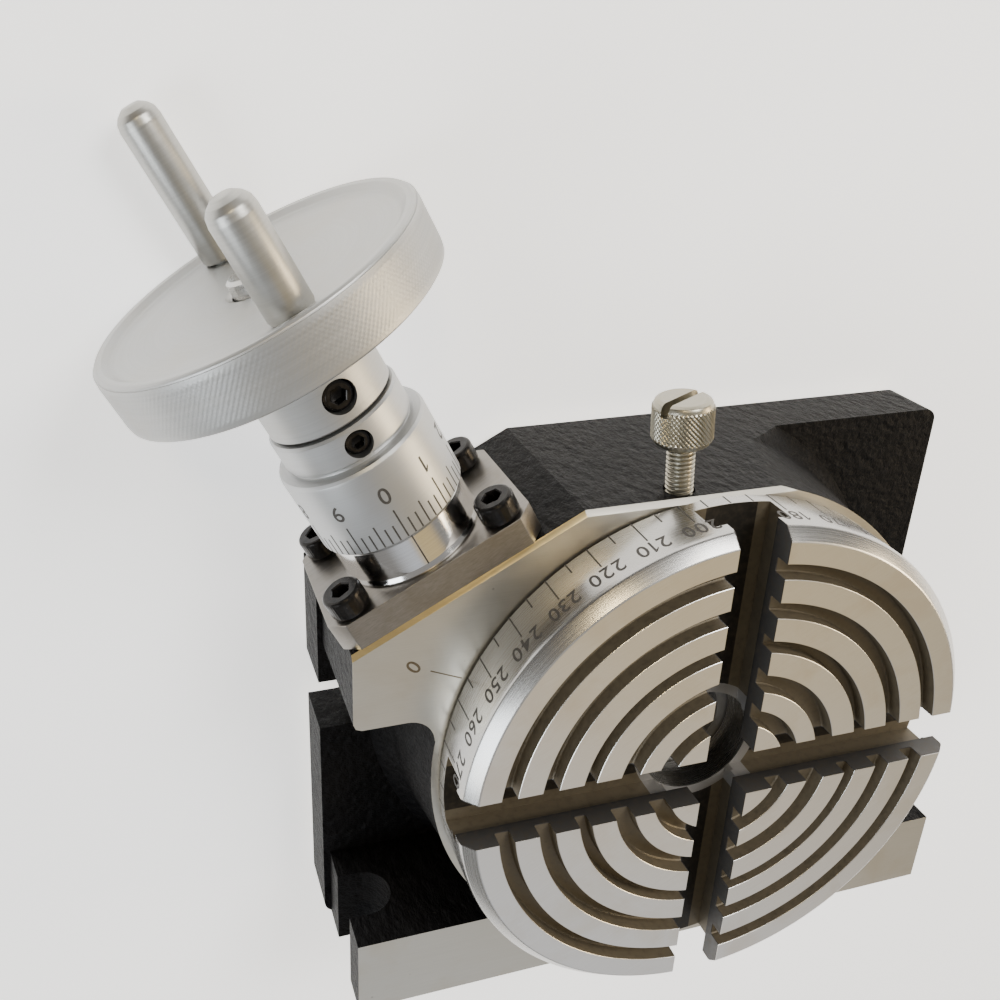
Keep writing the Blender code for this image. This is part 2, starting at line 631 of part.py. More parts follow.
# graduated dial with its neck
dial = turned("dial", [
    (NECK_R - 0.4, NECK_S1), (NECK_R, NECK_S1 - 0.4), (NECK_R, DIAL_S1 + 0.5),
    (NECK_R - 0.3, DIAL_S1), (DIAL_R - 0.8, DIAL_S1), (DIAL_R, DIAL_S1 - 0.8), (DIAL_R, DIAL_S0),
    (9.2, DIAL_S0), (9.2, 75.6), (TAIL_R + GAP, 75.6), (TAIL_R + GAP, NECK_S1)], steps=32, closed=True)


def radial(name, r, s, angle, r0, r1, segs=12):
    """A round cutter square to the worm axis, at a distance s along it."""
    c = as_cutter(rod(name, r, r0, r1, segs), name, worm_axis)
    d = Vector((cos(radians(angle)), sin(radians(angle)), 0.0))
    side = Vector((0, 0, 1)).cross(d)
    rot = Matrix((Vector((0, 0, 1)), d.cross(Vector((0, 0, 1))), d)).transposed()
    c.rotation_euler = rot.to_euler()
    c.location = (0.0, 0.0, s * MM)
    return c


def set_screw(name, r, s, angle, r_in, r_out, slot):
    """A short headless screw with a hexagon socket, lying along a radius."""
    o = turned(name, [(0.0, r_out), (r - 0.3, r_out), (r, r_out - 0.3), (r, r_in + 0.5),
                      (r * 0.6, r_in), (0.0, r_in)], steps=12)
    d = Vector((cos(radians(angle)), sin(radians(angle)), 0.0))
    rot = Matrix((Vector((0, 0, 1)), d.cross(Vector((0, 0, 1))), d)).transposed()
    hexcut = as_cutter(rod(name + "_socket", r * 0.56, r_out - 2.0, r_out + 3.0, 6),
                       name + "_socket", worm_axis)
    hexcut.rotation_euler = rot.to_euler()
    hexcut.location = (0.0, 0.0, s * MM)
    cut(o, hexcut)
    finish(o, name, slot, worm_axis, at=(0.0, 0.0, s))
    o.rotation_euler = rot.to_euler()
    return o


DIAL_SCREW_S, DIAL_SCREW_A = 87.3, 93.4
WHEEL_SCREW_S, WHEEL_SCREW_A = 95.3, 100.0
cut(dial, radial("dial_screw_hole", 2.3, DIAL_SCREW_S, DIAL_SCREW_A, 2.0, 20.0))
finish(dial, "dial", "satin_aluminium", worm_axis)
set_screw("dial_set_screw", 2.0, DIAL_SCREW_S, DIAL_SCREW_A, TAIL_R + 0.35, NECK_R - 0.9,
          "black_oxide")

# handwheel: hub, web and rim in one piece
hw = turned("handwheel", [
    (5.2, DISH_S), (RIM_IN_R - 1.2, DISH_S), (RIM_IN_R, DISH_S + 0.5), (RIM_IN_R + 0.6, RIM_S1),
    (RIM_R - 0.6, RIM_S1), (RIM_R, RIM_S1 - 0.6), (RIM_R, RIM_S0 + 0.8), (RIM_R - 0.8, RIM_S0),
    (RIM_IN_R - 1.4, RIM_S0), (RIM_IN_R - 2.0, WEB_BACK_S), (HUB_R + 2.4, WEB_BACK_S - 0.4),
    (HUB_R, WEB_BACK_S - 2.6), (HUB_R, HUB_S0 + 0.5), (HUB_R - 0.5, HUB_S0),
    (TAIL_R + GAP, HUB_S0), (TAIL_R + GAP, DISH_S - 0.6)], closed=True)
cut(hw, radial("wheel_screw_hole", 2.8, WHEEL_SCREW_S, WHEEL_SCREW_A, 2.0, 20.0))
for label, ang, in (("short", HANDLE_ANGLE), ("long", HANDLE_ANGLE + 180.0)):
    h = as_cutter(rod("handle_hole_" + label, 2.8, 107.0, DISH_S + 3, 12), "handle_hole_" + label,
                  worm_axis)
    h.location = (HANDLE_AT * cos(radians(ang)) * MM, HANDLE_AT * sin(radians(ang)) * MM, 0.0)
    cut(hw, h)
finish(hw, "handwheel", "satin_aluminium", worm_axis)
set_screw("wheel_set_screw", 2.5, WHEEL_SCREW_S, WHEEL_SCREW_A, TAIL_R + 0.35, HUB_R - 0.9,
          "black_oxide")

for label, ang, top in (("handle_short", HANDLE_ANGLE, SHORT_TOP),
                        ("handle_long", HANDLE_ANGLE + 180.0, LONG_TOP)):
    base = DISH_S + GAP
    h = turned(label, [
        (0.0, top), (1.6, top - 0.12), (2.8, top - 0.75), (3.4, top - 1.6), (HANDLE_R, top - 2.6),
        (HANDLE_R, base + 0.35), (HANDLE_R - 0.35, base), (2.5, base), (2.5, 108.0),
        (0.0, 108.0)], steps=16)
    finish(h, label, "satin_aluminium", worm_axis,
           at=(HANDLE_AT * cos(radians(ang)), HANDLE_AT * sin(radians(ang)), 0.0))

# ============================================================================
# Lock screw and its pad (local frame of lock_axis)
# ============================================================================
pad = turned("lock_pad", [(0.0, 33.6), (2.1, 33.6), (2.45, 33.2), (2.45, 24.4), (0.0, 24.4)],
             steps=16)
finish(pad, "lock_pad", "brass", lock_axis)
lock = turned("lock_screw", [
    (0.0, LOCK_HEAD1), (LOCK_HEAD_R - 1.0, LOCK_HEAD1), (LOCK_HEAD_R, LOCK_HEAD1 - 1.0),
    (LOCK_HEAD_R, LOCK_HEAD0 + 1.2), (LOCK_HEAD_R - 1.2, LOCK_HEAD0), (2.5, LOCK_HEAD0),
    (2.5, 34.6), (2.0, 34.0), (0.0, 34.0)], steps=24)
slot = as_cutter(block("lock_screw_slot", (-8, -0.75, LOCK_HEAD1 - 2.2), (8, 0.75, LOCK_HEAD1 + 2)),
                 "lock_screw_slot", lock_axis)
slot.rotation_euler.z = radians(24.0)
cut(lock, slot)
finish(lock, "lock_screw", "plated_steel", lock_axis)

bpy.context.view_layer.update()
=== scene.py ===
import bpy
import bmesh
from math import sin, cos, tan, pi, radians, sqrt, floor as ffloor, ceil, atan2, hypot
from mathutils import Matrix, Vector


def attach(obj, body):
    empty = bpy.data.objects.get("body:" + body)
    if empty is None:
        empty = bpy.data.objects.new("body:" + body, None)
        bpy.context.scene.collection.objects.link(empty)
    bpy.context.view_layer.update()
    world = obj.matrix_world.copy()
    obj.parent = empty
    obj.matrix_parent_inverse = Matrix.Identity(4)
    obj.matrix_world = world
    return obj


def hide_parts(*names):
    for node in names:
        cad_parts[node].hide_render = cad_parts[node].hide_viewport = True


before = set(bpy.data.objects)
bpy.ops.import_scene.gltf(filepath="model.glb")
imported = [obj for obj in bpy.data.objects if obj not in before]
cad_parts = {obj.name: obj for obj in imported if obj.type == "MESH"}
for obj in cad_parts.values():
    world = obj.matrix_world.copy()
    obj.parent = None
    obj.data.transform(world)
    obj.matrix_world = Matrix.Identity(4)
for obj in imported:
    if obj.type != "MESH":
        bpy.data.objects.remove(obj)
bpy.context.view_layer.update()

MM = 0.001

# ---------------------------------------------------------------------------
# frames: table axis (world), worm shaft, lock screw
# ---------------------------------------------------------------------------
UP = Vector((0, 0, 1))
WORM_AZ = radians(118.3)
A = Vector((cos(WORM_AZ), sin(WORM_AZ), 0))
E1 = Vector((-sin(WORM_AZ), cos(WORM_AZ), 0))
WORM_M = Matrix.Translation((E1 * 25.5 + UP * 23.7) * MM) @ Matrix((E1, UP, A)).transposed().to_4x4()
LOCK_AZ = radians(94.4)
LU = Vector((cos(LOCK_AZ), sin(LOCK_AZ), 0))
LOCK_M = Matrix.Translation(Vector((-2.06, 0, 33.5)) * MM) @ Matrix((UP.cross(LU), UP, LU)).transposed().to_4x4()
ID = Matrix.Identity(4)

work = bpy.data.collections.new("visual")
bpy.context.scene.collection.children.link(work)


# ---------------------------------------------------------------------------
# mesh helpers (all sizes in millimetres)
# ---------------------------------------------------------------------------
def obj_from_bm(name, bm, m=ID):
    me = bpy.data.meshes.new(name)
    bm.to_mesh(me)
    bm.free()
    o = bpy.data.objects.new(name, me)
    work.objects.link(o)
    o.matrix_world = m
    return o


def rounded(profile, n=4):
    """Profile corners (r, z, radius) -> points with true arcs."""
    out = []
    k = len(profile)
    for i, p in enumerate(profile):
        rad = p[2] if len(p) > 2 else 0.0
        if rad <= 0.0 or i == 0 or i == k - 1:
            out.append((p[0], p[1]))
            continue
        a = Vector((profile[i - 1][0] - p[0], profile[i - 1][1] - p[1]))
        b = Vector((profile[i + 1][0] - p[0], profile[i + 1][1] - p[1]))
        la, lb = a.length, b.length
        a.normalize()
        b.normalize()
        ang = a.angle(b)
        t = min(rad / tan(ang / 2.0), la * 0.49, lb * 0.49)
        rr = t * tan(ang / 2.0)
        c = Vector((p[0], p[1])) + (a + b).normalized() * (rr / sin(ang / 2.0))
        p0 = Vector((p[0], p[1])) + a * t
        p1 = Vector((p[0], p[1])) + b * t
        a0 = atan2(p0.y - c.y, p0.x - c.x)
        a1 = atan2(p1.y - c.y, p1.x - c.x)
        d = a1 - a0
        while d > pi:
            d -= 2 * pi
        while d < -pi:
            d += 2 * pi
        for j in range(n + 1):
            t2 = a0 + d * j / n
            out.append((c.x + rr * cos(t2), c.y + rr * sin(t2)))
    return out


def lathe(name, profile, steps=128, closed=False, m=ID, phase=0.0, radius=None):
    """Turn points (r, z) round local Z.  radius(r, z, angle) may shape the wall."""
    bm = bmesh.new()
    cols = []
    for r, z in profile:
        if r < 1e-6:
            cols.append([bm.verts.new((0, 0, z * MM))])
        else:
            ring = []
            for j in range(steps):
                a = phase + 2 * pi * j / steps
                rr = r if radius is None else radius(r, z, a)
                ring.append(bm.verts.new((rr * cos(a) * MM, rr * sin(a) * MM, z * MM)))
            cols.append(ring)
    pairs = [(i, i + 1) for i in range(len(cols) - 1)]
    if closed:
        pairs.append((len(cols) - 1, 0))
    for i, k in pairs:
        a, b = cols[i], cols[k]
        if len(a) == 1 and len(b) == 1:
            continue
        for j in range(steps):
            q = (j + 1) % steps
            if len(a) == 1:
                bm.faces.new((a[0], b[j], b[q]))
            elif len(b) == 1:
                bm.faces.new((a[j], b[0], a[q]))
            else:
                bm.faces.new((a[j], b[j], b[q], a[q]))
    bmesh.ops.recalc_face_normals(bm, faces=bm.faces)
    return obj_from_bm(name, bm, m)


def prism(name, outline, z0, z1, m=ID):
    bm = bmesh.new()
    lo = [bm.verts.new((x * MM, y * MM, z0 * MM)) for x, y in outline]
    hi = [bm.verts.new((x * MM, y * MM, z1 * MM)) for x, y in outline]
    k = len(outline)
    for i in range(k):
        j = (i + 1) % k
        bm.faces.new((lo[i], lo[j], hi[j], hi[i]))
    bm.faces.new(list(reversed(lo)))
    bm.faces.new(hi)
    bmesh.ops.recalc_face_normals(bm, faces=bm.faces)
    return obj_from_bm(name, bm, m)


def block(name, lo, hi, m=ID):
    return prism(name, [(lo[0], lo[1]), (hi[0], lo[1]), (hi[0], hi[1]), (lo[0], hi[1])],
                 lo[2], hi[2], m)


def arc(cx, cy, r, n, a0, a1):
    return [(cx + r * cos(a0 + (a1 - a0) * i / (n - 1)), cy + r * sin(a0 + (a1 - a0) * i / (n - 1)))
            for i in range(n)]


def boolean(o, tools, op="DIFFERENCE"):
    for t in tools:
        md = o.modifiers.new("b", "BOOLEAN")
        md.operation = op
        md.solver = "EXACT"
        md.object = t


def bake(o, drop=()):
    """Apply the modifiers and delete the tools."""
    bpy.context.view_layer.update()
    dg = bpy.context.evaluated_depsgraph_get()
    me = bpy.data.meshes.new_from_object(o.evaluated_get(dg))
    o.modifiers.clear()
    old = o.data
    o.data = me
    bpy.data.meshes.remove(old)
    for t in drop:
        bpy.data.objects.remove(t, do_unlink=True)
    return o


def clean(o, dist=0.0005):
    bm = bmesh.new()
    bm.from_mesh(o.data)
    bmesh.ops.remove_doubles(bm, verts=bm.verts, dist=dist * MM)
    bmesh.ops.dissolve_degenerate(bm, edges=bm.edges, dist=dist * MM)
    bm.to_mesh(o.data)
    bm.free()


def bevel(o, width, segs=2, angle=32.0):
    md = o.modifiers.new("edge", "BEVEL")
    md.width = width * MM
    md.segments = segs
    md.limit_method = "ANGLE"
    md.angle_limit = radians(angle)
    md.use_clamp_overlap = True
    md.harden_normals = False
    return bake(o)


def smooth(o, angle=28.0):
    o.data.shade_smooth()
    o.data.set_sharp_from_angle(angle=radians(angle))
    # flat faces stay flat up to their chamfers
    for p in o.data.polygons:
        if p.area > 60 * MM * MM or abs(p.normal.z) > 0.99999:
            p.use_smooth = False


# ---------------------------------------------------------------------------
# materials: node graphs only
# ---------------------------------------------------------------------------
class Graph:
    def __init__(self, name):
        self.mat = bpy.data.materials.new(name)
        self.mat.use_nodes = True
        self.t = self.mat.node_tree
        self.bsdf = self.t.nodes["Principled BSDF"]
        tc = self.t.nodes.new("ShaderNodeTexCoord")
        sc = self.t.nodes.new("ShaderNodeVectorMath")
        sc.operation = "SCALE"
        sc.inputs["Scale"].default_value = 1000.0
        self.t.links.new(tc.outputs["Object"], sc.inputs[0])
        self.mm = sc.outputs[0]                       # coordinates in millimetres
        sep = self.t.nodes.new("ShaderNodeSeparateXYZ")
        self.t.links.new(self.mm, sep.inputs[0])
        self.x, self.y, self.z = sep.outputs

    def link(self, a, b):
        self.t.links.new(a, b)

    def put(self, sock, v):
        if hasattr(v, "is_linked") or hasattr(v, "links"):
            self.t.links.new(v, sock)
        else:
            sock.default_value = v

    def math(self, op, a, b=0.0, c=0.0):
        n = self.t.nodes.new("ShaderNodeMath")
        n.operation = op
        for s, v in zip(n.inputs, (a, b, c)):
            self.put(s, v)
        return n.outputs[0]

    def scale(self, v, xyz):
        n = self.t.nodes.new("ShaderNodeVectorMath")
        n.operation = "MULTIPLY"
        self.link(v, n.inputs[0])
        n.inputs[1].default_value = xyz
        return n.outputs[0]

    def combine(self, x, y, z):
        n = self.t.nodes.new("ShaderNodeCombineXYZ")
        for s, v in zip(n.inputs, (x, y, z)):
            self.put(s, v)
        return n.outputs[0]

    def noise(self, v, scale, detail=4.0, rough=0.55, dist=0.0):
        n = self.t.nodes.new("ShaderNodeTexNoise")
        self.link(v, n.inputs["Vector"])
        n.inputs["Scale"].default_value = scale
        n.inputs["Detail"].default_value = detail
        n.inputs["Roughness"].default_value = rough
        n.inputs["Distortion"].default_value = dist
        return n.outputs[0]

    def voronoi(self, v, scale, feature="F1"):
        n = self.t.nodes.new("ShaderNodeTexVoronoi")
        n.feature = feature
        self.link(v, n.inputs["Vector"])
        n.inputs["Scale"].default_value = scale
        return n.outputs["Distance"]

    def ramp(self, fac, stops):
        n = self.t.nodes.new("ShaderNodeValToRGB")
        self.put(n.inputs[0], fac)
        e = n.color_ramp.elements
        while len(e) < len(stops):
            e.new(0.5)
        for el, (p, c) in zip(e, stops):
            el.position = p
            el.color = (c, c, c, 1.0) if isinstance(c, float) else (c[0], c[1], c[2], 1.0)
        return n.outputs[0]

    def mix(self, fac, a, b, mode="MIX"):
        n = self.t.nodes.new("ShaderNodeMix")
        n.data_type = "RGBA"
        n.blend_type = mode
        self.put(n.inputs[0], fac)
        self.put(n.inputs[6], a if not isinstance(a, tuple) else (a[0], a[1], a[2], 1.0))
        self.put(n.inputs[7], b if not isinstance(b, tuple) else (b[0], b[1], b[2], 1.0))
        return n.outputs[2]

    def bump(self, height, dist_mm, strength=1.0, prev=None):
        n = self.t.nodes.new("ShaderNodeBump")
        n.inputs["Strength"].default_value = strength
        n.inputs["Distance"].default_value = dist_mm * MM
        self.link(height, n.inputs["Height"])
        if prev is not None:
            self.link(prev, n.inputs["Normal"])
        return n.outputs[0]

    def done(self, colour, rough, metal=1.0, normal=None, coat=None, aniso=None):
        b = self.bsdf.inputs
        self.put(b["Base Color"], colour if not isinstance(colour, tuple)
                 else (colour[0], colour[1], colour[2], 1.0))
        self.put(b["Roughness"], rough)
        self.put(b["Metallic"], metal)
        if normal is not None:
            self.link(normal, b["Normal"])
        if coat is not None:
            b["Coat Weight"].default_value = coat
            b["Coat Roughness"].default_value = 0.25
        if aniso is not None:
            b["Anisotropic"].default_value = aniso
        return self.mat


def radius_of(g):
    return g.math("SQRT", g.math("ADD", g.math("MULTIPLY", g.x, g.x), g.math("MULTIPLY", g.y, g.y)))


def mat_cast_paint(name="cast_black_paint"):
    g = Graph(name)
    q = g.scale(g.mm, (1.0, 1.0, 0.55))
    n1 = g.noise(q, 0.46, 3.0, 0.55, 0.3)
    v = g.voronoi(q, 0.70, "SMOOTH_F1")
    n2 = g.noise(q, 2.1, 3.0, 0.6)
    n3 = g.noise(q, 4.6, 3.0, 0.6)
    h = g.math("ADD", g.math("MULTIPLY", n1, 0.9), g.math("MULTIPLY", v, 0.55))
    h = g.math("ADD", h, g.math("MULTIPLY", n2, 0.42))
    h = g.math("ADD", h, g.math("MULTIPLY", n3, 0.06))
    nb = g.bump(h, 0.80, 0.85)
    nb = g.bump(n3, 0.05, 0.5, nb)
    big = g.noise(g.mm, 0.06, 3.0, 0.5)
    # bump tops (light end of this ramp) and fine speckles (next mix) turn light bluish grey: painted highlights
    # standing in for the speckled sheen of the paint
    col = g.ramp(g.math("MULTIPLY", h, 0.55), [(0.30, (0.0022, 0.0021, 0.0023)), (0.60, (0.0052, 0.0051, 0.0055)),
                                               (0.85, (0.0170, 0.0172, 0.0200))])
    col = g.mix(g.ramp(n3, [(0.60, 0.0), (0.78, 0.35)]), col, (0.022, 0.0225, 0.026))
    col = g.mix(g.ramp(big, [(0.35, 0.0), (0.75, 0.35)]), col, (0.012, 0.010, 0.009))
    rough = g.ramp(n2, [(0.2, 0.42), (0.8, 0.64)])
    g.bsdf.inputs["Specular IOR Level"].default_value = 0.09
    return g.done(col, rough, 0.0, nb)


def mat_machined(name="machined_top", tint=(0.66, 0.645, 0.61)):
    """Surface-ground face: fine straight lines, faint oil stain, small nicks."""
    g = Graph(name)
    s = g.scale(g.mm, (0.10, 4.2, 1.0))
    lines = g.noise(s, 1.6, 5.0, 0.65)
    s2 = g.scale(g.mm, (0.03, 1.0, 0.3))
    broad = g.noise(s2, 1.0, 2.0, 0.5)
    stain = g.noise(g.mm, 0.055, 4.0, 0.6, 0.4)
    nick = g.voronoi(g.mm, 0.16, "F1")
    col = g.ramp(lines, [(0.3, tuple(c * 0.92 for c in tint)), (0.7, tint)])
    col = g.mix(g.ramp(stain, [(0.5, 0.0), (0.78, 0.55)]), col, tuple(c * k for c, k in zip(tint, (0.80, 0.70, 0.55))))
    col = g.mix(g.ramp(nick, [(0.0, 0.6), (0.05, 0.0)]), col, (0.10, 0.085, 0.07))
    rough = g.math("ADD", g.math("MULTIPLY", lines, 0.08),
                   g.math("ADD", g.math("MULTIPLY", broad, 0.08), 0.27))
    nb = g.bump(lines, 0.005, 0.5)
    return g.done(col, rough, 1.0, nb)


def mat_table(name="ground_table"):
    """Work face ground in straight lines; slot and groove faces carry painted shade, the slot walls darkest down in the
    slot.
    """
    g = Graph(name)
    r = radius_of(g)
    ca, sa = cos(radians(28)), sin(radians(28))
    along = g.math("ADD", g.math("MULTIPLY", g.x, ca), g.math("MULTIPLY", g.y, sa))
    across = g.math("SUBTRACT", g.math("MULTIPLY", g.y, ca), g.math("MULTIPLY", g.x, sa))
    grind_v = g.combine(g.math("MULTIPLY", along, 0.10), g.math("MULTIPLY", across, 5.0), 0.0)
    grind = g.noise(grind_v, 1.4, 5.0, 0.66)
    scratch_v = g.combine(g.math("MULTIPLY", across, 0.16), g.math("MULTIPLY", along, 5.5), 3.0)
    scratch = g.noise(scratch_v, 0.9, 2.0, 0.5, 0.2)
    turn_v = g.combine(g.math("MULTIPLY", r, 2.2), g.math("MULTIPLY", g.z, 5.0), 0.0)
    turned = g.noise(turn_v, 1.3, 4.0, 0.6)
    blotch = g.noise(g.mm, 0.07, 4.0, 0.62, 0.5)
    pits = g.noise(g.mm, 0.9, 3.0, 0.5)
    top = g.math("GREATER_THAN", g.z, 51.93)
    away = g.math("GREATER_THAN", g.math("MINIMUM", g.math("ABSOLUTE", g.x), g.math("ABSOLUTE", g.y)), 4.95)
    shoulder = g.math("MULTIPLY", g.math("GREATER_THAN", r, 47.4),
                      g.math("MULTIPLY", g.math("GREATER_THAN", g.z, 48.9), away))
    outer = g.math("MAXIMUM", g.math("GREATER_THAN", r, 49.93), shoulder)
    outer = g.math("MAXIMUM", outer, g.math("LESS_THAN", g.z, 41.1))
    low_mask = g.math("SUBTRACT", 1.0, g.math("MINIMUM", g.math("ADD", top, outer), 1.0))
    # bright metal
    c_top = g.ramp(grind, [(0.25, (0.70, 0.68, 0.65)), (0.75, (0.80, 0.785, 0.76))])
    c_top = g.mix(g.ramp(scratch, [(0.70, 0.0), (0.76, 0.35)]), c_top, (0.88, 0.87, 0.85))
    # warm blotches: partly an oil-film tone, partly a painted reflection of the warm surroundings
    c_top = g.mix(g.ramp(blotch, [(0.50, 0.0), (0.80, 0.55)]), c_top, (0.62, 0.54, 0.43))
    c_wall = g.ramp(turned, [(0.30, (0.40, 0.395, 0.385)), (0.72, (0.54, 0.53, 0.51))])
    # same warm blotches on the rim wall: partly oil-film tone, partly painted reflection
    c_wall = g.mix(g.ramp(blotch, [(0.50, 0.0), (0.78, 0.45)]), c_wall, (0.46, 0.40, 0.31))
    bright = g.mix(top, c_wall, c_top)
    # slot and groove walls: painted shade, the slot walls dark in the slot and lighter towards the top edge
    slot_painted_shade = g.ramp(g.math("DIVIDE", g.math("SUBTRACT", g.z, 41.0), 11.0),
                    [(0.0, (0.020, 0.017, 0.013)), (0.50, (0.011, 0.010, 0.010)), (0.64, (0.045, 0.043, 0.042)),
                     (1.0, (0.090, 0.087, 0.084))])
    groove_painted_shade = g.ramp(pits, [(0.30, (0.110, 0.092, 0.064)), (0.75, (0.165, 0.138, 0.094))])
    deep = g.mix(away, slot_painted_shade, groove_painted_shade)
    deep = g.mix(g.ramp(pits, [(0.45, 0.0), (0.85, 0.45)]), deep, (0.09, 0.07, 0.045))
    # bore wall lightened to grey: a painted reflection of light on the bore wall
    bore = g.math("MULTIPLY", g.math("LESS_THAN", r, 12.9), g.math("LESS_THAN", g.z, 47.0))
    deep = g.mix(bore, deep, (0.27, 0.26, 0.25))
    col = g.mix(low_mask, bright, deep)
    r_top = g.math("ADD", g.math("MULTIPLY", grind, 0.12), 0.24)
    r_wall = g.math("ADD", g.math("MULTIPLY", turned, 0.16), 0.19)
    r_deep = g.math("ADD", g.math("MULTIPLY", pits, 0.25), 0.38)
    rough = g.mix(low_mask, g.mix(top, r_wall, r_top), r_deep)
    hgt = g.mix(top, turned, grind)
    nb = g.bump(hgt, 0.007, 0.6)
    nb = g.bump(scratch, 0.006, 0.5, nb)
    metal = g.math("SUBTRACT", 1.0, g.math("MULTIPLY", low_mask, 0.55))
    return g.done(col, rough, metal, nb)


def mat_turned(name, tint, rough0=0.2, rough1=0.12, line=4.0, bump=0.010, warm=0.0, blast=0.0, metal=1.0):
    """Lathe-turned metal: rings along local Z plus a fine grain."""
    g = Graph(name)
    r = radius_of(g)
    v = g.combine(g.math("MULTIPLY", r, line * 0.7), g.math("MULTIPLY", g.z, line), 0.0)
    rings = g.noise(v, 1.0, 5.0, 0.62)
    grain = g.noise(g.mm, 7.0, 2.0, 0.5)
    cloud = g.noise(g.mm, 0.12, 4.0, 0.6, 0.3)
    hand = g.noise(g.mm, 0.5, 4.0, 0.6)
    col = g.ramp(rings, [(0.3, tuple(c * 0.86 for c in tint)), (0.7, tint)])
    col = g.mix(g.ramp(cloud, [(0.45, 0.0), (0.8, 0.35 + warm)]), col,
                tuple(c * k for c, k in zip(tint, (0.90, 0.85, 0.76))))
    col = g.mix(g.ramp(hand, [(0.62, 0.0), (0.85, 0.25)]), col, tuple(c * 0.7 for c in tint))
    rough = g.math("ADD", g.math("MULTIPLY", rings, rough1), g.math("ADD", g.math("MULTIPLY", grain, 0.06 + blast), rough0))
    nb = g.bump(rings, bump, 0.6)
    if blast > 0:
        nb = g.bump(grain, 0.02, 0.5, nb)
    return g.done(col, rough, metal, nb)


def mat_milled(name, tint=(0.40, 0.395, 0.385), ang=0.0, z_axis=False):
    g = Graph(name)
    ca, sa = cos(radians(ang)), sin(radians(ang))
    u = g.math("ADD", g.math("MULTIPLY", g.x, ca), g.math("MULTIPLY", g.y, sa))
    w = g.math("SUBTRACT", g.math("MULTIPLY", g.y, ca), g.math("MULTIPLY", g.x, sa))
    v = g.combine(g.math("MULTIPLY", u, 0.12), g.math("MULTIPLY", w, 4.0), g.math("MULTIPLY", g.z, 4.0))
    lines = g.noise(v, 1.3, 5.0, 0.65)
    blotch = g.noise(g.mm, 0.16, 4.0, 0.6, 0.4)
    fine = g.noise(g.mm, 3.2, 3.0, 0.6)
    col = g.ramp(lines, [(0.28, tuple(c * 0.68 for c in tint)), (0.72, tint)])
    col = g.mix(g.ramp(blotch, [(0.48, 0.0), (0.75, 0.5)]), col, tuple(c * k for c, k in zip(tint, (0.62, 0.58, 0.50))))
    rough = g.math("ADD", g.math("MULTIPLY", lines, 0.22), g.math("ADD", g.math("MULTIPLY", fine, 0.12), 0.18))
    nb = g.bump(lines, 0.02, 0.7)
    return g.done(col, rough, 1.0, nb)


def mat_black_oxide(name="black_oxide_finish"):
    g = Graph(name)
    n = g.noise(g.mm, 1.1, 4.0, 0.6)
    f = g.noise(g.mm, 6.0, 3.0, 0.55)
    col = g.ramp(n, [(0.35, (0.012, 0.011, 0.011)), (0.75, (0.036, 0.033, 0.030))])
    col = g.mix(g.ramp(f, [(0.68, 0.0), (0.86, 0.3)]), col, (0.09, 0.075, 0.06))
    rough = g.math("ADD", g.math("MULTIPLY", n, 0.18), 0.15)
    return g.done(col, rough, 0.8, g.bump(f, 0.008, 0.5))


def mat_ink(name="engraved_fill"):
    g = Graph(name)
    n = g.noise(g.mm, 4.0, 3.0, 0.6)
    col = g.ramp(n, [(0.35, (0.022, 0.020, 0.018)), (0.8, (0.075, 0.067, 0.058))])
    rough = g.math("ADD", g.math("MULTIPLY", n, 0.3), 0.45)
    return g.done(col, rough, 0.0, g.bump(n, 0.02, 0.5))


def mat_bronze(name, tint):
    g = Graph(name)
    n = g.noise(g.mm, 0.7, 4.0, 0.6)
    l = g.noise(g.scale(g.mm, (0.5, 0.5, 5.0)), 1.2, 3.0, 0.6)
    col = g.ramp(n, [(0.3, tuple(c * 0.7 for c in tint)), (0.75, tint)])
    rough = g.math("ADD", g.math("MULTIPLY", l, 0.2), 0.22)
    return g.done(col, rough, 1.0, g.bump(l, 0.015, 0.6))


M_PAINT = mat_cast_paint()
M_TOPFACE = mat_machined("machined_top", (0.60, 0.57, 0.50))
# bare machined chamfer metal; its gold tint is a painted highlight of the warm lamp's reflection
M_CHAMFER_GLINT = mat_machined("chamfer_painted_highlight", (0.84, 0.66, 0.33))
M_TABLE = mat_table()
M_PLATE = mat_milled("milled_plate", (0.31, 0.288, 0.26), 8.0)
M_MILL2 = mat_milled("milled_underside", (0.42, 0.415, 0.40), 30.0)
M_SLEEVE = mat_turned("polished_sleeve", (0.74, 0.73, 0.72), 0.055, 0.08, 5.0, 0.005)
M_DIAL = mat_turned("satin_dial", (0.53, 0.535, 0.535), 0.34, 0.12, 5.0, 0.008)
M_WHEEL = mat_turned("satin_wheel", (0.50, 0.50, 0.49), 0.32, 0.12, 3.6, 0.008, 0.1, 0.10)
M_PIN = mat_turned("satin_pins", (0.46, 0.455, 0.43), 0.26, 0.14, 3.0, 0.010, 0.15, 0.08)
M_KNOB = mat_turned("plated_knob", (0.40, 0.375, 0.305), 0.22, 0.12, 3.0, 0.008, 0.3, 0.05)
M_SHAFT = mat_turned("turned_shaft", (0.56, 0.55, 0.53), 0.18, 0.14, 3.0, 0.012, 0.1)
M_BORE = mat_turned("oiled_bore", (0.20, 0.195, 0.19), 0.34, 0.12, 3.0, 0.008, 0.1, 0.0, 0.35)
M_OXIDE = mat_black_oxide()
M_INK = mat_ink()
M_FAINT = mat_milled("shallow_engraving", (0.20, 0.16, 0.11), 20.0)
M_BRONZE = mat_bronze("bronze_parts", (0.55, 0.36, 0.16))
M_BRASS = mat_bronze("brass_pad", (0.70, 0.52, 0.22))


def dress(o, mat, body, nodes=(), angle=28.0, smooth_it=True):
    if smooth_it:
        smooth(o, angle)
    if mat is not None:
        o.data.materials.clear()
        o.data.materials.append(mat)
    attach(o, body)
    if nodes:
        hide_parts(*nodes)
    return o


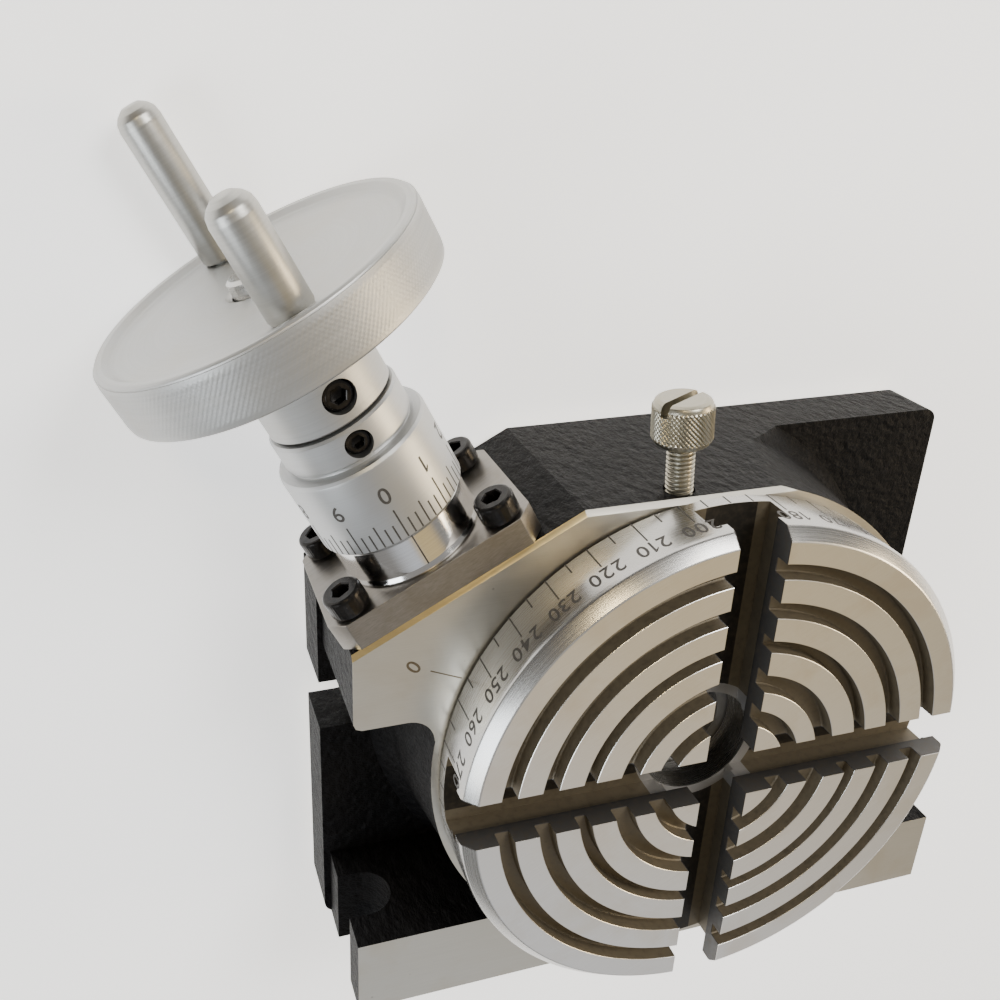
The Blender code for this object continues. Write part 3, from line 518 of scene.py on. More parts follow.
# ---------------------------------------------------------------------------
# engraved lines and numbers
# ---------------------------------------------------------------------------
def one_glyph(ch, height, bold):
    """One numeral as a flat mesh, its left foot at the origin; returns its width."""
    bm = bmesh.new()
    if ch == "1":
        t = height * (0.105 + bold * 0.02)
        w = height * 0.30
        for quad in (((w - t, 0.0), (w, 0.0), (w, height), (w - t * 1.05, height)),
                     ((w - t, height * 0.97), (w - t, height * 0.83), (0.0, height * 0.66), (0.0, height * 0.78))):
            bm.faces.new([bm.verts.new((x, y, 0.0)) for x, y in quad])
        width = w + height * 0.06
    else:
        cu = bpy.data.curves.new("glyph", "FONT")
        cu.body = ch
        cu.size = 10.0
        cu.resolution_u = 5
        cu.offset = 0.10 * bold
        o = bpy.data.objects.new("glyph", cu)
        work.objects.link(o)
        bpy.context.view_layer.update()
        me = bpy.data.meshes.new_from_object(o.evaluated_get(bpy.context.evaluated_depsgraph_get()))
        bpy.data.objects.remove(o, do_unlink=True)
        bm.from_mesh(me)
        bpy.data.meshes.remove(me)
        x0 = min(v.co.x for v in bm.verts)
        y0 = min(v.co.y for v in bm.verts)
        k = height / (max(v.co.y for v in bm.verts) - y0)
        for v in bm.verts:
            v.co = ((v.co.x - x0) * k * 0.93, (v.co.y - y0) * k, 0.0)
        width = max(v.co.x for v in bm.verts)
    bmesh.ops.remove_doubles(bm, verts=bm.verts, dist=0.0005)
    long_edges = [e for e in bm.edges if e.calc_length() > 0.45]
    if long_edges:
        bmesh.ops.subdivide_edges(bm, edges=long_edges, cuts=2, use_grid_fill=False)
    bmesh.ops.triangulate(bm, faces=bm.faces)
    return bm, width


def glyph_mesh(text, height, bold=1.0, gap=0.15):
    """Numerals as a flat mesh, centred on the origin, cap height in mm."""
    out = bmesh.new()
    x = 0.0
    for ch in text:
        bm, w = one_glyph(ch, height, bold)
        m = {v: out.verts.new((v.co.x + x, v.co.y - height / 2, 0.0)) for v in bm.verts}
        for f in bm.faces:
            out.faces.new([m[v] for v in f.verts])
        bm.free()
        x += w + gap * height
    x -= gap * height
    for v in out.verts:
        v.co.x -= x / 2
    return out


def thicken(bm, t):
    geom = bmesh.ops.extrude_face_region(bm, geom=list(bm.faces))
    vs = [g for g in geom["geom"] if isinstance(g, bmesh.types.BMVert)]
    for v in vs:
        v.co.z += t
    return bm


class Inlay:
    """Collects thin filled marks that lie just proud of a surface."""
    def __init__(self):
        self.bm = bmesh.new()

    def add(self, bm, place):
        m = {}
        for v in bm.verts:
            m[v.index] = self.bm.verts.new(place(v.co.x, v.co.y, v.co.z))
        for f in bm.faces:
            self.bm.faces.new([m[v.index] for v in f.verts])
        bm.free()

    def text(self, s, height, place):
        bm = glyph_mesh(s, height)
        bmesh.ops.recalc_face_normals(bm, faces=bm.faces)
        thicken(bm, -0.05)
        bmesh.ops.recalc_face_normals(bm, faces=bm.faces)
        bm.verts.index_update()
        self.add(bm, place)

    def bar(self, x0, x1, y0, y1, place):
        bm = bmesh.new()
        pts = [(x0, y0), (x1, y0), (x1, y1), (x0, y1)]
        hi = [bm.verts.new((x, y, 0.0)) for x, y in pts]
        lo = [bm.verts.new((x, y, -0.05)) for x, y in pts]
        bm.faces.new(hi)
        bm.faces.new(list(reversed(lo)))
        for i in range(4):
            j = (i + 1) % 4
            bm.faces.new((lo[i], lo[j], hi[j], hi[i]))
        bm.verts.index_update()
        self.add(bm, place)

    def make(self, name, m=ID):
        bmesh.ops.recalc_face_normals(self.bm, faces=self.bm.faces)
        return obj_from_bm(name, self.bm, m)


def knurl(name, R, s0, s1, around, along, depth, m=ID, q=4, edge=0.0):
    """Diamond knurling as real geometry: crossing grooves round a band."""
    cols = around * q
    rows = int(along * q)
    def h(u, v):
        a = abs(((u + v) % 1.0) * 2 - 1)
        b = abs(((u - v) % 1.0) * 2 - 1)
        k = min(1 - a, 1 - b)
        return min(1.0, k * 1.45)
    bm = bmesh.new()
    grid = []
    for i in range(rows + 1):
        t = i / rows
        s = s0 + (s1 - s0) * t
        fade = min(1.0, min(t, 1 - t) * rows / (q * 0.9))
        ring = []
        for j in range(cols):
            u = j / q
            v = t * along
            hh = h(u, v) * fade
            a = 2 * pi * j / cols
            r = R - depth + depth * hh - edge * (1 - fade)
            ring.append(bm.verts.new((r * cos(a) * MM, r * sin(a) * MM, s * MM)))
        grid.append(ring)
    for rr, s in ((R - depth - 0.8, s0 + 0.02), ):
        pass
    lo = [bm.verts.new(((R - depth - 1.0) * cos(2 * pi * j / cols) * MM,
                        (R - depth - 1.0) * sin(2 * pi * j / cols) * MM, (s0 + 0.01) * MM)) for j in range(cols)]
    hi = [bm.verts.new(((R - depth - 1.0) * cos(2 * pi * j / cols) * MM,
                        (R - depth - 1.0) * sin(2 * pi * j / cols) * MM, (s1 - 0.01) * MM)) for j in range(cols)]
    grid = [lo] + grid + [hi]
    n = len(grid)
    for i in range(n):
        a, b = grid[i], grid[(i + 1) % n]
        for j in range(cols):
            k = (j + 1) % cols
            bm.faces.new((a[j], a[k], b[k], b[j]))
    bmesh.ops.recalc_face_normals(bm, faces=bm.faces)
    return obj_from_bm(name, bm, m)


# ===========================================================================
# TABLE
# ===========================================================================
GROOVES = ((14.4, 11.4), (21.7, 18.3), (28.6, 26.4), (36.1, 33.2), (43.5, 40.7))
TOP = 52.0
prof = [(0.0, TOP)]
for ro, ri in GROOVES:
    prof += [(ri - 0.12, TOP), (ri, TOP - 0.12), (ri, TOP - 2.75), (ri + 0.25, TOP - 3.0),
             (ro - 0.25, TOP - 3.0), (ro, TOP - 2.75), (ro, TOP - 0.12), (ro + 0.12, TOP)]
prof += [(47.55, TOP), (47.8, 51.93)]
prof += rounded([(47.9, 51.85), (49.85, 49.95, 1.1), (50.0, 49.2)], 5)[0:]
prof += [(50.0, 38.75), (49.65, 38.35), (48.8, 38.3), (24.0, 38.3), (24.0, 31.1), (17.2, 31.1),
         (17.2, 27.5), (14.2, 27.5), (14.2, 12.6), (0.0, 12.6)]
table = lathe("table_disc", prof, 256)
neck_x = block("nx", (-60, -4.78, 42.0), (60, 4.78, 56))
tee_x = block("tx", (-60, -7.35, 41.25), (60, 7.35, 47.4))
neck_y = block("ny", (-4.78, -60, 42.0), (4.78, 60, 56))
tee_y = block("ty", (-7.35, -60, 41.25), (7.35, 60, 47.4))
bore = lathe("tb", [(0, 43), (10.9, 43), (10.9, 34.0), (11.8, 34.0), (11.8, 10), (0, 10)], 96, phase=0.011)
kw = block("kw", (12.9, -1.8, 19.0), (15.2, 1.8, 27.2))
# union of the two slots first, so that the walls are cut once
boolean(tee_x, [neck_x, tee_y, neck_y], "UNION")
bake(tee_x, (neck_x, tee_y, neck_y))
boolean(table, [tee_x, bore, kw])
bake(table, (tee_x, bore, kw))
clean(table)
bevel(table, 0.10, 1, 40.0)
clean(table)
dress(table, M_TABLE, "table", ("rotary_table",), 30)

marks = Inlay()


def wall(az, r):
    """Place a mark on a vertical wall: x to the right seen from outside, y up."""
    def f(x, y, z):
        a = az + x / r
        rr = r + 0.016 + z
        return Vector((rr * cos(a), rr * sin(a), y)) * MM
    return f


for k in range(72):
    grad = k * 5
    az = radians(grad - 99.7)
    # no marks where the slots open
    d = min(abs(((grad - 99.7 - q) + 180) % 360 - 180) for q in (0, 90, 180, 270))
    if d < 5.9:
        inside_tee = d < 8.4
    long_mark = grad % 10 == 0
    top_z = 44.5 if long_mark else 41.35
    if d * pi / 180 * 50 < 7.6:
        top_z = min(top_z, 41.1)
    marks.bar(-0.14, 0.14, 38.45, top_z, wall(az, 50.0))
    if long_mark and d * pi / 180 * 50 > 7.9:
        base = wall(az, 50.0)
        marks.text(str(grad), 3.1, (lambda b: (lambda x, y, z: b(x, 46.55 + y, z)))(base))
o = marks.make("table_graduations")
dress(o, M_INK, "table", (), 30)

# ===========================================================================
# BODY
# ===========================================================================
def round_rect(x0, y0, x1, y1, r, n=8):
    pts = []
    for cx, cy, a in ((x1 - r, y0 + r, -pi / 2), (x1 - r, y1 - r, 0.0),
                      (x0 + r, y1 - r, pi / 2), (x0 + r, y0 + r, pi)):
        pts += arc(cx, cy, r, n, a, a + pi / 2)
    return pts


BODY_TOP = 37.8
base = prism("base", round_rect(-66.4, -55.0, 66.4, 49.8, 2.6), 0.0, 12.2)
wallp = rounded([(0.0, BODY_TOP), (51.3, BODY_TOP), (51.3, 33.0, 6), (53.2, 17.5, 3.0), (57.0, 12.0), (57.0, 2.0), (0.0, 2.0)], 6)
ring = lathe("ring", wallp, 192, phase=0.004)
fil = 5.0
fx, fy = -54.6, 13.0 - fil
plan = [(-65.4, 14.5), (-64.95, 13.45), (-63.9, 13.0)]
plan += arc(fx - 1.2, fy, fil, 12, pi / 2, 0.0)
plan += [(-48.0, fy), (-30.0, 0.0), (0.0, 30.0), (0.0, 52.8), (-65.4, 52.8)]
hous = prism("hous", plan, 2.0, BODY_TOP)
foot = block("foot", (-65.0, -55.0, 2.0), (65.0, -38.0, BODY_TOP))
boolean(base, [ring, hous, foot], "UNION")
tools = [block("t1", (-80, 49.8, -5), (80, 80, 60)), block("t2", (-60, -45, 55.8), (60, 45, 120), WORM_M),
         block("t3", (-80, -80, -5), (80, -55.0, 60))]
tools.append(block("ch1", (-60, -0.66, -20), (60, 12, 20), WORM_M @ Matrix.Translation((0, 14.1 * MM - 0.42 * MM, 55.8 * MM - 0.42 * MM)) @ Matrix.Rotation(radians(45), 4, "X") @ Matrix.Translation((0, 0.66 * MM, 0))))
tools.append(block("ch2", (-90, -20, 0), (90, 20, 12), Matrix.Translation((0, 49.8 * MM - 0.45 * MM, BODY_TOP * MM - 0.45 * MM)) @ Matrix.Rotation(radians(-45), 4, "X")))
for side in (-1, 1):
    cx, far = side * 60.9, side * 75.0
    if side > 0:
        a = arc(cx, 0.0, 5.5, 24, pi / 2, pi * 1.5)
        pts = a + [(far, -5.5), (far, 5.5)]
    else:
        a = arc(cx, 0.0, 5.5, 24, -pi / 2, pi / 2)
        pts = a + [(far, 5.5), (far, -5.5)]
    tools.append(prism("s", pts, -3.0, 16.0))
    f = prism("f", [(x, y + 25.0) for x, y in pts], -30.0, 30.0,
              Matrix.Translation((0, -0.050, 0)) @ Matrix.Rotation(pi / 2, 4, "X"))
    tools.append(f)
tools.append(lathe("in", [(0, 41), (24.35, 41), (24.35, 30.8), (17.6, 30.8), (17.6, 28.8), (22.5, 28.8), (22.5, 4.0),
                          (30.0, 4.0), (30.0, -3.0), (0, -3.0)], 128, phase=0.002))
tools.append(lathe("wb", [(0, 61), (10.3, 61), (10.3, 16.9), (7.2, 16.9), (7.2, -24), (0, -24)], 64, m=WORM_M, phase=0.01))
for sx in (-1, 1):
    for sy in (-1, 1):
        tools.append(lathe("fh", [(0, 61), (2.3, 61), (2.3, 43), (0, 43)], 24,
                           m=WORM_M @ Matrix.Translation((sx * 14.5 * MM, sy * 10.4 * MM, 0))))
tools.append(lathe("lh", [(0, 60), (2.8, 60), (2.8, 20), (0, 20)], 32, m=LOCK_M))
for i in range(4):
    an = radians(45 + 90 * i)
    tools.append(lathe("ct", [(0, 12), (1.8, 12), (1.8, 2), (0, 2)], 20,
                       m=Matrix.Translation((26.2 * cos(an) * MM, 26.2 * sin(an) * MM, 0))))
uni = [ring, hous, foot]
bake(base, uni)
clean(base, 0.002)
boolean(base, tools)
bake(base, tools)
clean(base, 0.002)
bevel(base, 0.40, 3, 50.0)
clean(base, 0.001)
base.name = "body_casting"
me = base.data
me.materials.clear()
me.materials.append(M_PAINT)
me.materials.append(M_TOPFACE)
me.materials.append(M_CHAMFER_GLINT)
Minv = WORM_M.inverted()
for p in me.polygons:
    c = p.center / MM
    n = p.normal
    r = hypot(c.x, c.y)
    w = Minv @ p.center / MM
    bright = False
    if n.z > 0.3 and c.z > BODY_TOP - 0.75:
        bright = True                                    # machined top, its edge included
    if c.z < 0.7 and n.z < -0.3:
        bright = True                                    # underside
    if c.y < -54.4 and n.y < -0.6:
        bright = True                                    # upright face
    if r < 30.5 and abs(n.z) < 0.5 and c.z < 40:
        bright = True                                    # bores
    if r < 30.5 and 3.0 < c.z < 35:
        bright = True
    p.material_index = 1 if bright else 0
    if 0.30 < n.z < 0.95 and c.z > BODY_TOP - 0.75 and r > 48.0 and (w.z > 54.9 or c.y > 49.2):
        p.material_index = 2                             # bare machined chamfer tinted gold: a painted highlight of the warm lamp
smooth(base, 35)
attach(base, "base")
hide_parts("base_casting")

idx = Inlay()
ia = radians(156.0)
ir = Vector((cos(ia), sin(ia), 0))
it = Vector((-sin(ia), cos(ia), 0))


def on_top(x, y, z):
    # y outwards along the radius, x to the side
    return (ir * y + it * x + UP * (BODY_TOP + 0.014 + z)) * MM


idx.bar(-0.13, 0.13, 50.6, 56.8, on_top)
idx.text("0", 3.0, lambda x, y, z: on_top(x * cos(0.35) - y * sin(0.35), 60.1 + x * sin(0.35) + y * cos(0.35), z))
o = idx.make("body_index_mark")
dress(o, M_FAINT, "base", ())

# bottom cover, with a turned face and countersinks
cov = lathe("cover_plate", rounded([(0, 3.7), (29.7, 3.7, 0.3), (29.7, 0.0, 0.3), (0, 0.0)], 3), 128)
cs = []
for i in range(4):
    an = radians(45 + 90 * i)
    cs.append(lathe("cc", [(0, 6), (1.8, 6), (1.8, 1.8), (3.6, 0.0), (3.6, -1), (0, -1)], 32,
                    m=Matrix.Translation((26.2 * cos(an) * MM, 26.2 * sin(an) * MM, 0))))
boolean(cov, cs)
bake(cov, cs)
dress(cov, M_MILL2, "base", ("bottom_cover",))
for i in range(4):
    an = radians(45 + 90 * i)
    mm_ = Matrix.Translation((26.2 * cos(an) * MM, 26.2 * sin(an) * MM, 0)) @ Matrix.Rotation(an, 4, "Z")
    s = lathe("cover_screw_head_%d" % (i + 1), rounded([(0, 11.0), (1.2, 11.0), (1.5, 10.6), (1.5, 1.7), (3.0, 0.25, 0.12), (2.9, 0.15), (0, 0.15)], 3), 40, m=mm_)
    c1 = block("sl", (-4, -0.4, -0.5), (4, 0.4, 0.95), mm_)
    boolean(s, [c1])
    bake(s, [c1])
    dress(s, M_OXIDE, "base", ("cover_screw_%d" % (i + 1),))

# ===========================================================================
# FLANGE PLATE, SCREWS, INDEX SLEEVE
# ===========================================================================
px, py, c = 19.45, 14.0, 2.8
pl = prism("flange_body", [(px - c, -py), (px, -py + c), (px, py - c), (px - c, py),
                           (-px + c, py), (-px, py - c), (-px, -py + c), (-px + c, -py)], 56.1, 61.75, WORM_M)
tl = [lathe("fb", [(0, 66), (10.3, 66), (10.3, 50), (0, 50)], 96, m=WORM_M)]
for sx in (-1, 1):
    for sy in (-1, 1):
        tl.append(lathe("ph", [(0, 66), (2.3, 66), (2.3, 50), (0, 50)], 24,
                        m=WORM_M @ Matrix.Translation((sx * 14.5 * MM, sy * 10.4 * MM, 0))))
boolean(pl, tl)
bake(pl, tl)
clean(pl)
bevel(pl, 0.35, 3, 40.0)
dress(pl, M_PLATE, "base", ("flange_plate",))

for i, (sx, sy) in enumerate(((1, 1), (-1, 1), (-1, -1), (1, -1))):
    mm_ = WORM_M @ Matrix.Translation((sx * 14.5 * MM, sy * 10.4 * MM, 0)) @ Matrix.Rotation(radians(13 + 31 * i), 4, "Z")
    s0 = 62.05
    TEETH = 40

    def serr(r, z, a):
        if r > 3.3 and s0 + 0.35 < z < s0 + 3.45:
            return r - 0.025 * (1 - abs(((a * TEETH / (2 * pi)) % 1.0) * 2 - 1))
        return r
    rows = [(3.5, s0 + 3.4 - k * 0.5) for k in range(7)]
    prof = [(0, s0 + 4.0), (2.95, s0 + 4.0), (3.2, s0 + 3.9), (3.42, s0 + 3.65)] + rows + \
        [(3.42, s0 + 0.2), (3.2, s0), (2.0, s0), (2.0, 44.4), (1.6, 44.0), (0, 44.0)]
    sc = lathe("cap_screw_%d" % (i + 1), prof, TEETH * 4, m=mm_, radius=serr)
    hx = lathe("hx", [(0, s0 + 6), (2.1, s0 + 6), (2.1, s0 + 4.15), (1.74, s0 + 3.78), (1.74, s0 + 1.9), (0, s0 + 1.2)], 6, m=mm_)
    boolean(sc, [hx])
    bake(sc, [hx])
    clean(sc)
    dress(sc, M_OXIDE, "base", ("flange_screw_%d" % (i + 1),), 24)

sl = lathe("sleeve_polished", rounded([
    (5.8, 69.2), (12.35, 69.2), (12.7, 68.85), (12.7, 62.9, 0.6), (13.0, 62.1, 0.05), (13.0, 61.85), (10.0, 61.85, 0.1),
    (10.0, 17.3), (5.8, 17.3)], 6), 192, closed=True, m=WORM_M)
dress(sl, M_SLEEVE, "base", ("index_sleeve",))


def cyl_place(r, s, ang):
    """Mark on a worm-shaft cylinder: y runs out along the shaft, x round it."""
    def f(x, y, z):
        a = ang + x / r
        rr = r + 0.014 + z
        return Vector((rr * cos(a), rr * sin(a), s + y)) * MM
    return f


iw = Inlay()
iw.bar(-0.13, 0.13, 62.9, 69.1, cyl_place(12.7, 0.0, radians(90.5)))
o = iw.make("sleeve_index_mark", WORM_M)
dress(o, M_INK, "base", ())

# ===========================================================================
# DIAL
# ===========================================================================
dl = lathe("dial_ring", rounded([
    (4.3, 90.4), (11.1, 90.4), (11.5, 90.0), (11.5, 85.0), (11.05, 84.7, 0.1), (11.05, 84.1, 0.1), (12.5, 84.15), (13.0, 84.05),
    (13.32, 83.6), (13.4, 83.1), (13.4, 69.75), (13.2, 69.5), (9.2, 69.5), (9.2, 75.6), (4.3, 75.6)], 3), 256, closed=True, m=WORM_M)
hole = lathe("h", [(0, 20), (2.35, 20), (2.35, 2), (0, 2)], 40,
             m=WORM_M @ Matrix.Translation((0, 0, 87.3 * MM)) @ Matrix.Rotation(radians(93.4 - 90), 4, "Z") @ Matrix.Rotation(-pi / 2, 4, "X"))
boolean(dl, [hole])
bake(dl, [hole])
clean(dl)
dress(dl, M_DIAL, "dial", ("dial",), 24)
dm = Inlay()
for k in range(60):
    ang = radians(88.8 + 6.0 * k)
    L = 5.85 if k % 6 == 0 else (4.6 if k % 3 == 0 else 3.4)
    dm.bar(-0.15, 0.15, 69.78, 69.5 + L, cyl_place(13.4, 0.0, ang))
    if k % 6 == 0:
        b = cyl_place(13.4, 0.0, ang)
        # numeral tops point down towards the lines
        dm.text(str(k // 6), 3.1, (lambda b: (lambda x, y, z: b(-x, 78.3 - y, z)))(b))
o = dm.make("dial_graduations", WORM_M)
dress(o, M_INK, "dial", ())


def socket_screw(name, r, s, ang, r_in, r_out, body, node):
    mm_ = WORM_M @ Matrix.Translation((0, 0, s * MM)) @ Matrix.Rotation(radians(ang - 90), 4, "Z") @ Matrix.Rotation(-pi / 2, 4, "X")
    sc = lathe(name, [(0, r_out), (r - 0.45, r_out), (r - 0.05, r_out - 0.35), (r - 0.12, r_out - 0.75), (r, r_out - 1.0),
                      (r - 0.12, r_out - 1.35), (r, r_out - 1.7), (r, r_in + 0.5), (r * 0.6, r_in), (0, r_in)], 48, m=mm_)
    hx = lathe("hx", [(0, r_out + 2), (r * 0.68, r_out + 2), (r * 0.68, r_out + 0.1), (r * 0.57, r_out - 0.12), (r * 0.57, r_out - 2.0), (0, r_out - 2.4)], 6, m=mm_)
    boolean(sc, [hx])
    bake(sc, [hx])
    clean(sc)
    dress(sc, M_OXIDE, body, (node,))


socket_screw("dial_grub", 2.0, 87.3, 93.4, 4.35, 10.75, "dial", "dial_set_screw")
socket_screw("wheel_grub", 2.5, 95.3, 100.0, 4.35, 10.2, "worm", "wheel_set_screw")

# ===========================================================================
# HANDWHEEL
# ===========================================================================
hp = rounded([
    (4.3, 113.1), (4.6, 113.35), (5.2, 113.55, 0.4), (20.0, 113.7), (24.6, 113.95, 1.5), (25.9, 115.0, 0.35), (26.9, 115.1, 0.4), (27.3, 114.75, 0.3),
    (27.4, 114.4), (27.4, 105.9), (27.2, 105.45, 0.3), (26.6, 105.1, 0.3),
    (24.4, 105.1, 0.4), (23.6, 108.0, 0.8), (14.2, 107.9, 1.6), (10.9, 105.2, 1.6), (10.9, 91.15, 0.1), (10.5, 90.75, 0.1), (4.3, 90.75)], 5)
hw = lathe("handwheel_body", hp, 256, closed=True, m=WORM_M)
tl = [lathe("h", [(0, 20), (2.85, 20), (2.85, 2), (0, 2)], 40,
            m=WORM_M @ Matrix.Translation((0, 0, 95.3 * MM)) @ Matrix.Rotation(radians(10), 4, "Z") @ Matrix.Rotation(-pi / 2, 4, "X"))]
HA = radians(96.0)
for q in (0, pi):
    tl.append(lathe("h", [(0, 120), (2.8, 120), (2.8, 107), (0, 107)], 32,
                    m=WORM_M @ Matrix.Translation((21.6 * cos(HA + q) * MM, 21.6 * sin(HA + q) * MM, 0))))
boolean(hw, tl)
bake(hw, tl)
clean(hw)
dress(hw, M_WHEEL, "worm", ("handwheel",), 24)
kn = knurl("handwheel_knurl", 27.7, 105.75, 114.45, 208, 9, 0.085, WORM_M, 4, 0.04)
dress(kn, M_WHEEL, "worm", (), 80)
for label, q, top in (("short", 0.0, 131.8), ("long", pi, 141.3)):
    mm_ = WORM_M @ Matrix.Translation((21.6 * cos(HA + q) * MM, 21.6 * sin(HA + q) * MM, 0))
    p = lathe("pin_" + label, rounded([
        (0, top), (1.5, top - 0.05), (1.75, top - 0.18, 0.2), (2.7, top - 0.85, 0.8), (3.35, top - 1.7, 1.0), (3.6, top - 3.0, 1.0), (3.6, 114.6), (3.45, 114.15),
        (3.1, 114.0), (2.5, 114.0), (2.5, 108.0), (0, 108.0)], 4), 72, m=mm_)
    dress(p, M_PIN, "worm", ("handle_" + label,))

# ===========================================================================
# LOCK SCREW
# ===========================================================================
hd = lathe("lock_head", rounded([
    (0, 67.1), (4.1, 67.1, 0.1), (4.75, 66.75, 0.3), (5.05, 66.1), (5.02, 59.9), (4.6, 59.1, 0.3), (3.9, 58.65, 0.2), (2.3, 58.6),
    (2.3, 57.9), (0, 57.9)], 4), 96, m=LOCK_M)
kn = knurl("lk", 5.3, 59.25, 66.55, 40, 8, 0.27, LOCK_M, 4, 0.25)
sm = LOCK_M @ Matrix.Rotation(radians(24), 4, "Z")
for piece, label in ((hd, "lock_screw_head"), (kn, "lock_screw_knurl")):
    slc = block("sl", (-8, -0.75, 64.9), (8, 0.75, 69), sm)
    boolean(piece, [slc])
    bake(piece, [slc])
    piece.name = label
dress(hd, M_KNOB, "lock_screw", ("lock_screw",), 40)
dress(kn, M_KNOB, "lock_screw", (), 60)
# threaded shank
bm = bmesh.new()
K = 40
P = 0.8
turns = 29
rows = []
for i in range(turns * 4 + 1):
    ringv = []
    for j in range(K):
        ph = (i % 4)
        rr = (2.06, 2.42, 2.45, 2.12)[ph]
        s = 34.9 + (i / 4.0 + j / K) * P
        a = 2 * pi * j / K
        ringv.append(bm.verts.new((rr * cos(a) * MM, rr * sin(a) * MM, s * MM)))
    rows.append(ringv)
for i in range(len(rows) - 1):
    for j in range(K - 1):
        bm.faces.new((rows[i][j], rows[i][j + 1], rows[i + 1][j + 1], rows[i + 1][j]))
for i in range(len(rows) - 1 - 4):
    bm.faces.new((rows[i][K - 1], rows[i + 4][0], rows[i + 5][0], rows[i + 1][K - 1]))
th = obj_from_bm("lock_thread", bm, LOCK_M)
dress(th, M_KNOB, "lock_screw", (), 40)
tip = lathe("lock_tip", [(0, 35.6), (2.0, 35.6), (2.0, 34.6), (1.7, 34.05), (0, 34.05)], 32, m=LOCK_M)
dress(tip, M_KNOB, "lock_screw", ())

# ===========================================================================
# CAD nodes that stay: the hidden working parts
# ===========================================================================
KEEP = {"worm_wheel": M_BRONZE, "wheel_key": M_SHAFT, "spindle_nut": M_OXIDE, "thrust_washer": M_BRONZE,
        "centre_sleeve": M_BORE, "worm_shaft": M_SHAFT, "rear_bush": M_BRONZE, "worm_thrust_washer": M_BRONZE,
        "adjusting_nut": M_OXIDE, "lock_pad": M_BRASS}
for name, mat in KEEP.items():
    ob = bpy.data.objects.get(name)
    if ob is None:
        continue
    for s in ob.material_slots:
        s.material = mat
# end of the shaft in the middle of the handwheel: turned, chamfered, centre-drilled
se = lathe("shaft_end", rounded([(0, 115.2), (0.9, 115.6), (1.3, 115.98), (3.3, 115.98), (3.95, 115.5), (4.02, 113.0), (4.02, 110.0), (0, 110.0)], 2), 64, m=WORM_M)
dress(se, M_SHAFT, "worm", ())

# ===========================================================================
# floor, light, camera
# ===========================================================================
def flat_mat(name, colour, rough):
    g = Graph(name)
    g.bsdf.inputs["Emission Color"].default_value = (1.0, 1.0, 1.0, 1.0)
    g.bsdf.inputs["Emission Strength"].default_value = 0.95
    n = g.noise(g.mm, 0.02, 2.0, 0.5)
    col = g.ramp(n, [(0.0, tuple(c * 0.99 for c in colour)), (1.0, colour)])
    return g.done(col, rough, 0.0)


fl_z = -4.15
fl = block("floor", (-1500, -1500, fl_z - 2), (1500, 1500, fl_z))
fl.data.materials.append(flat_mat("pale_floor", (0.96, 0.96, 0.96), 0.6))

CAM = Vector((-97.39, 129.34, 179.93)) * MM
cam_d = bpy.data.cameras.new("camera")
cam = bpy.data.objects.new("camera", cam_d)
bpy.context.scene.collection.objects.link(cam)
cam.location = CAM
cam.rotation_euler = (radians(-24.87598), radians(-16.62273), radians(1.03313))
cam_d.sensor_width = 36.0
cam_d.lens = 38.21
cam_d.shift_x = 0.0760
cam_d.shift_y = -0.0330
cam_d.clip_start = 0.005
cam_d.clip_end = 20
bpy.context.scene.camera = cam


def area(name, loc, target, size, power, colour=(1, 1, 1), size_y=None):
    ld = bpy.data.lights.new(name, "AREA")
    ld.energy = power
    ld.color = colour
    ld.shape = "RECTANGLE"
    ld.size = size
    ld.size_y = size_y or size
    lo = bpy.data.objects.new(name, ld)
    bpy.context.scene.collection.objects.link(lo)
    lo.location = loc
    d = Vector(target) - Vector(loc)
    lo.rotation_euler = d.to_track_quat("-Z", "Y").to_euler()
    return lo


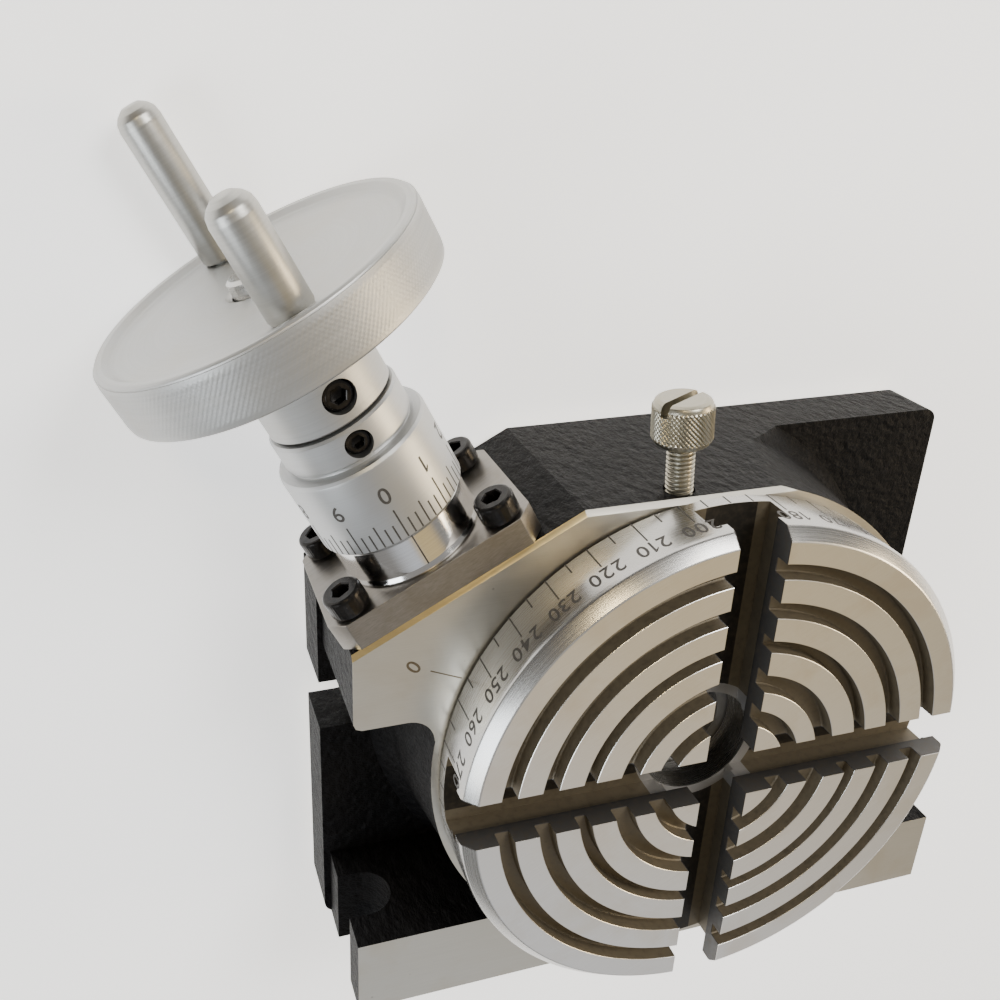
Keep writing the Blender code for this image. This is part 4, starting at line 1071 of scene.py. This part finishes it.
area("key", (0.35, 0.70, 0.80), (0, 0, 0.03), 0.45, 9.0, (1.0, 0.99, 0.97))
area("window", (-0.85, -0.25, 0.60), (0, 0, 0.03), 0.5, 6.0, (0.88, 0.94, 1.0))
area("warm", (0.80, 0.05, 0.35), (0, 0, 0.03), 0.35, 4.0, (1.0, 0.80, 0.52))
area("lamp", (-0.38, 0.72, 0.98), (0, 0, 0.04), 0.14, 2.6, (1.0, 0.80, 0.46))
wd = bpy.data.worlds.new("studio")
bpy.context.scene.world = wd
wd.use_nodes = True
wt = wd.node_tree
bg = wt.nodes["Background"]
tc = wt.nodes.new("ShaderNodeTexCoord")


def towards(az, el, lo, hi):
    """A soft patch of the surroundings, centred on one direction."""
    d = (cos(radians(el)) * cos(radians(az)), cos(radians(el)) * sin(radians(az)), sin(radians(el)))
    dp = wt.nodes.new("ShaderNodeVectorMath")
    dp.operation = "DOT_PRODUCT"
    nm = wt.nodes.new("ShaderNodeVectorMath")
    nm.operation = "NORMALIZE"
    wt.links.new(tc.outputs["Generated"], nm.inputs[0])
    wt.links.new(nm.outputs[0], dp.inputs[0])
    dp.inputs[1].default_value = d
    mr = wt.nodes.new("ShaderNodeMapRange")
    mr.interpolation_type = "SMOOTHSTEP"
    mr.inputs["From Min"].default_value = cos(radians(lo))
    mr.inputs["From Max"].default_value = cos(radians(hi))
    wt.links.new(dp.outputs["Value"], mr.inputs["Value"])
    return mr.outputs[0]


def tint(fac, below, colour):
    n = wt.nodes.new("ShaderNodeMix")
    n.data_type = "RGBA"
    wt.links.new(fac, n.inputs[0])
    if isinstance(below, tuple):
        n.inputs[6].default_value = below
    else:
        wt.links.new(below, n.inputs[6])
    n.inputs[7].default_value = colour
    return n.outputs[2]


sky = tint(towards(0, 90, 75, 20), (0.30, 0.295, 0.285, 1), (0.36, 0.35, 0.335, 1))
sky = tint(towards(-72, 37, 32, 10), sky, (0.86, 0.90, 0.97, 1))
sky = tint(towards(-43, 50, 22, 7), sky, (0.80, 0.62, 0.33, 1))
sky = tint(towards(127, 30, 40, 15), sky, (0.14, 0.13, 0.125, 1))
wt.links.new(sky, bg.inputs[0])
bg.inputs[1].default_value = 1.0
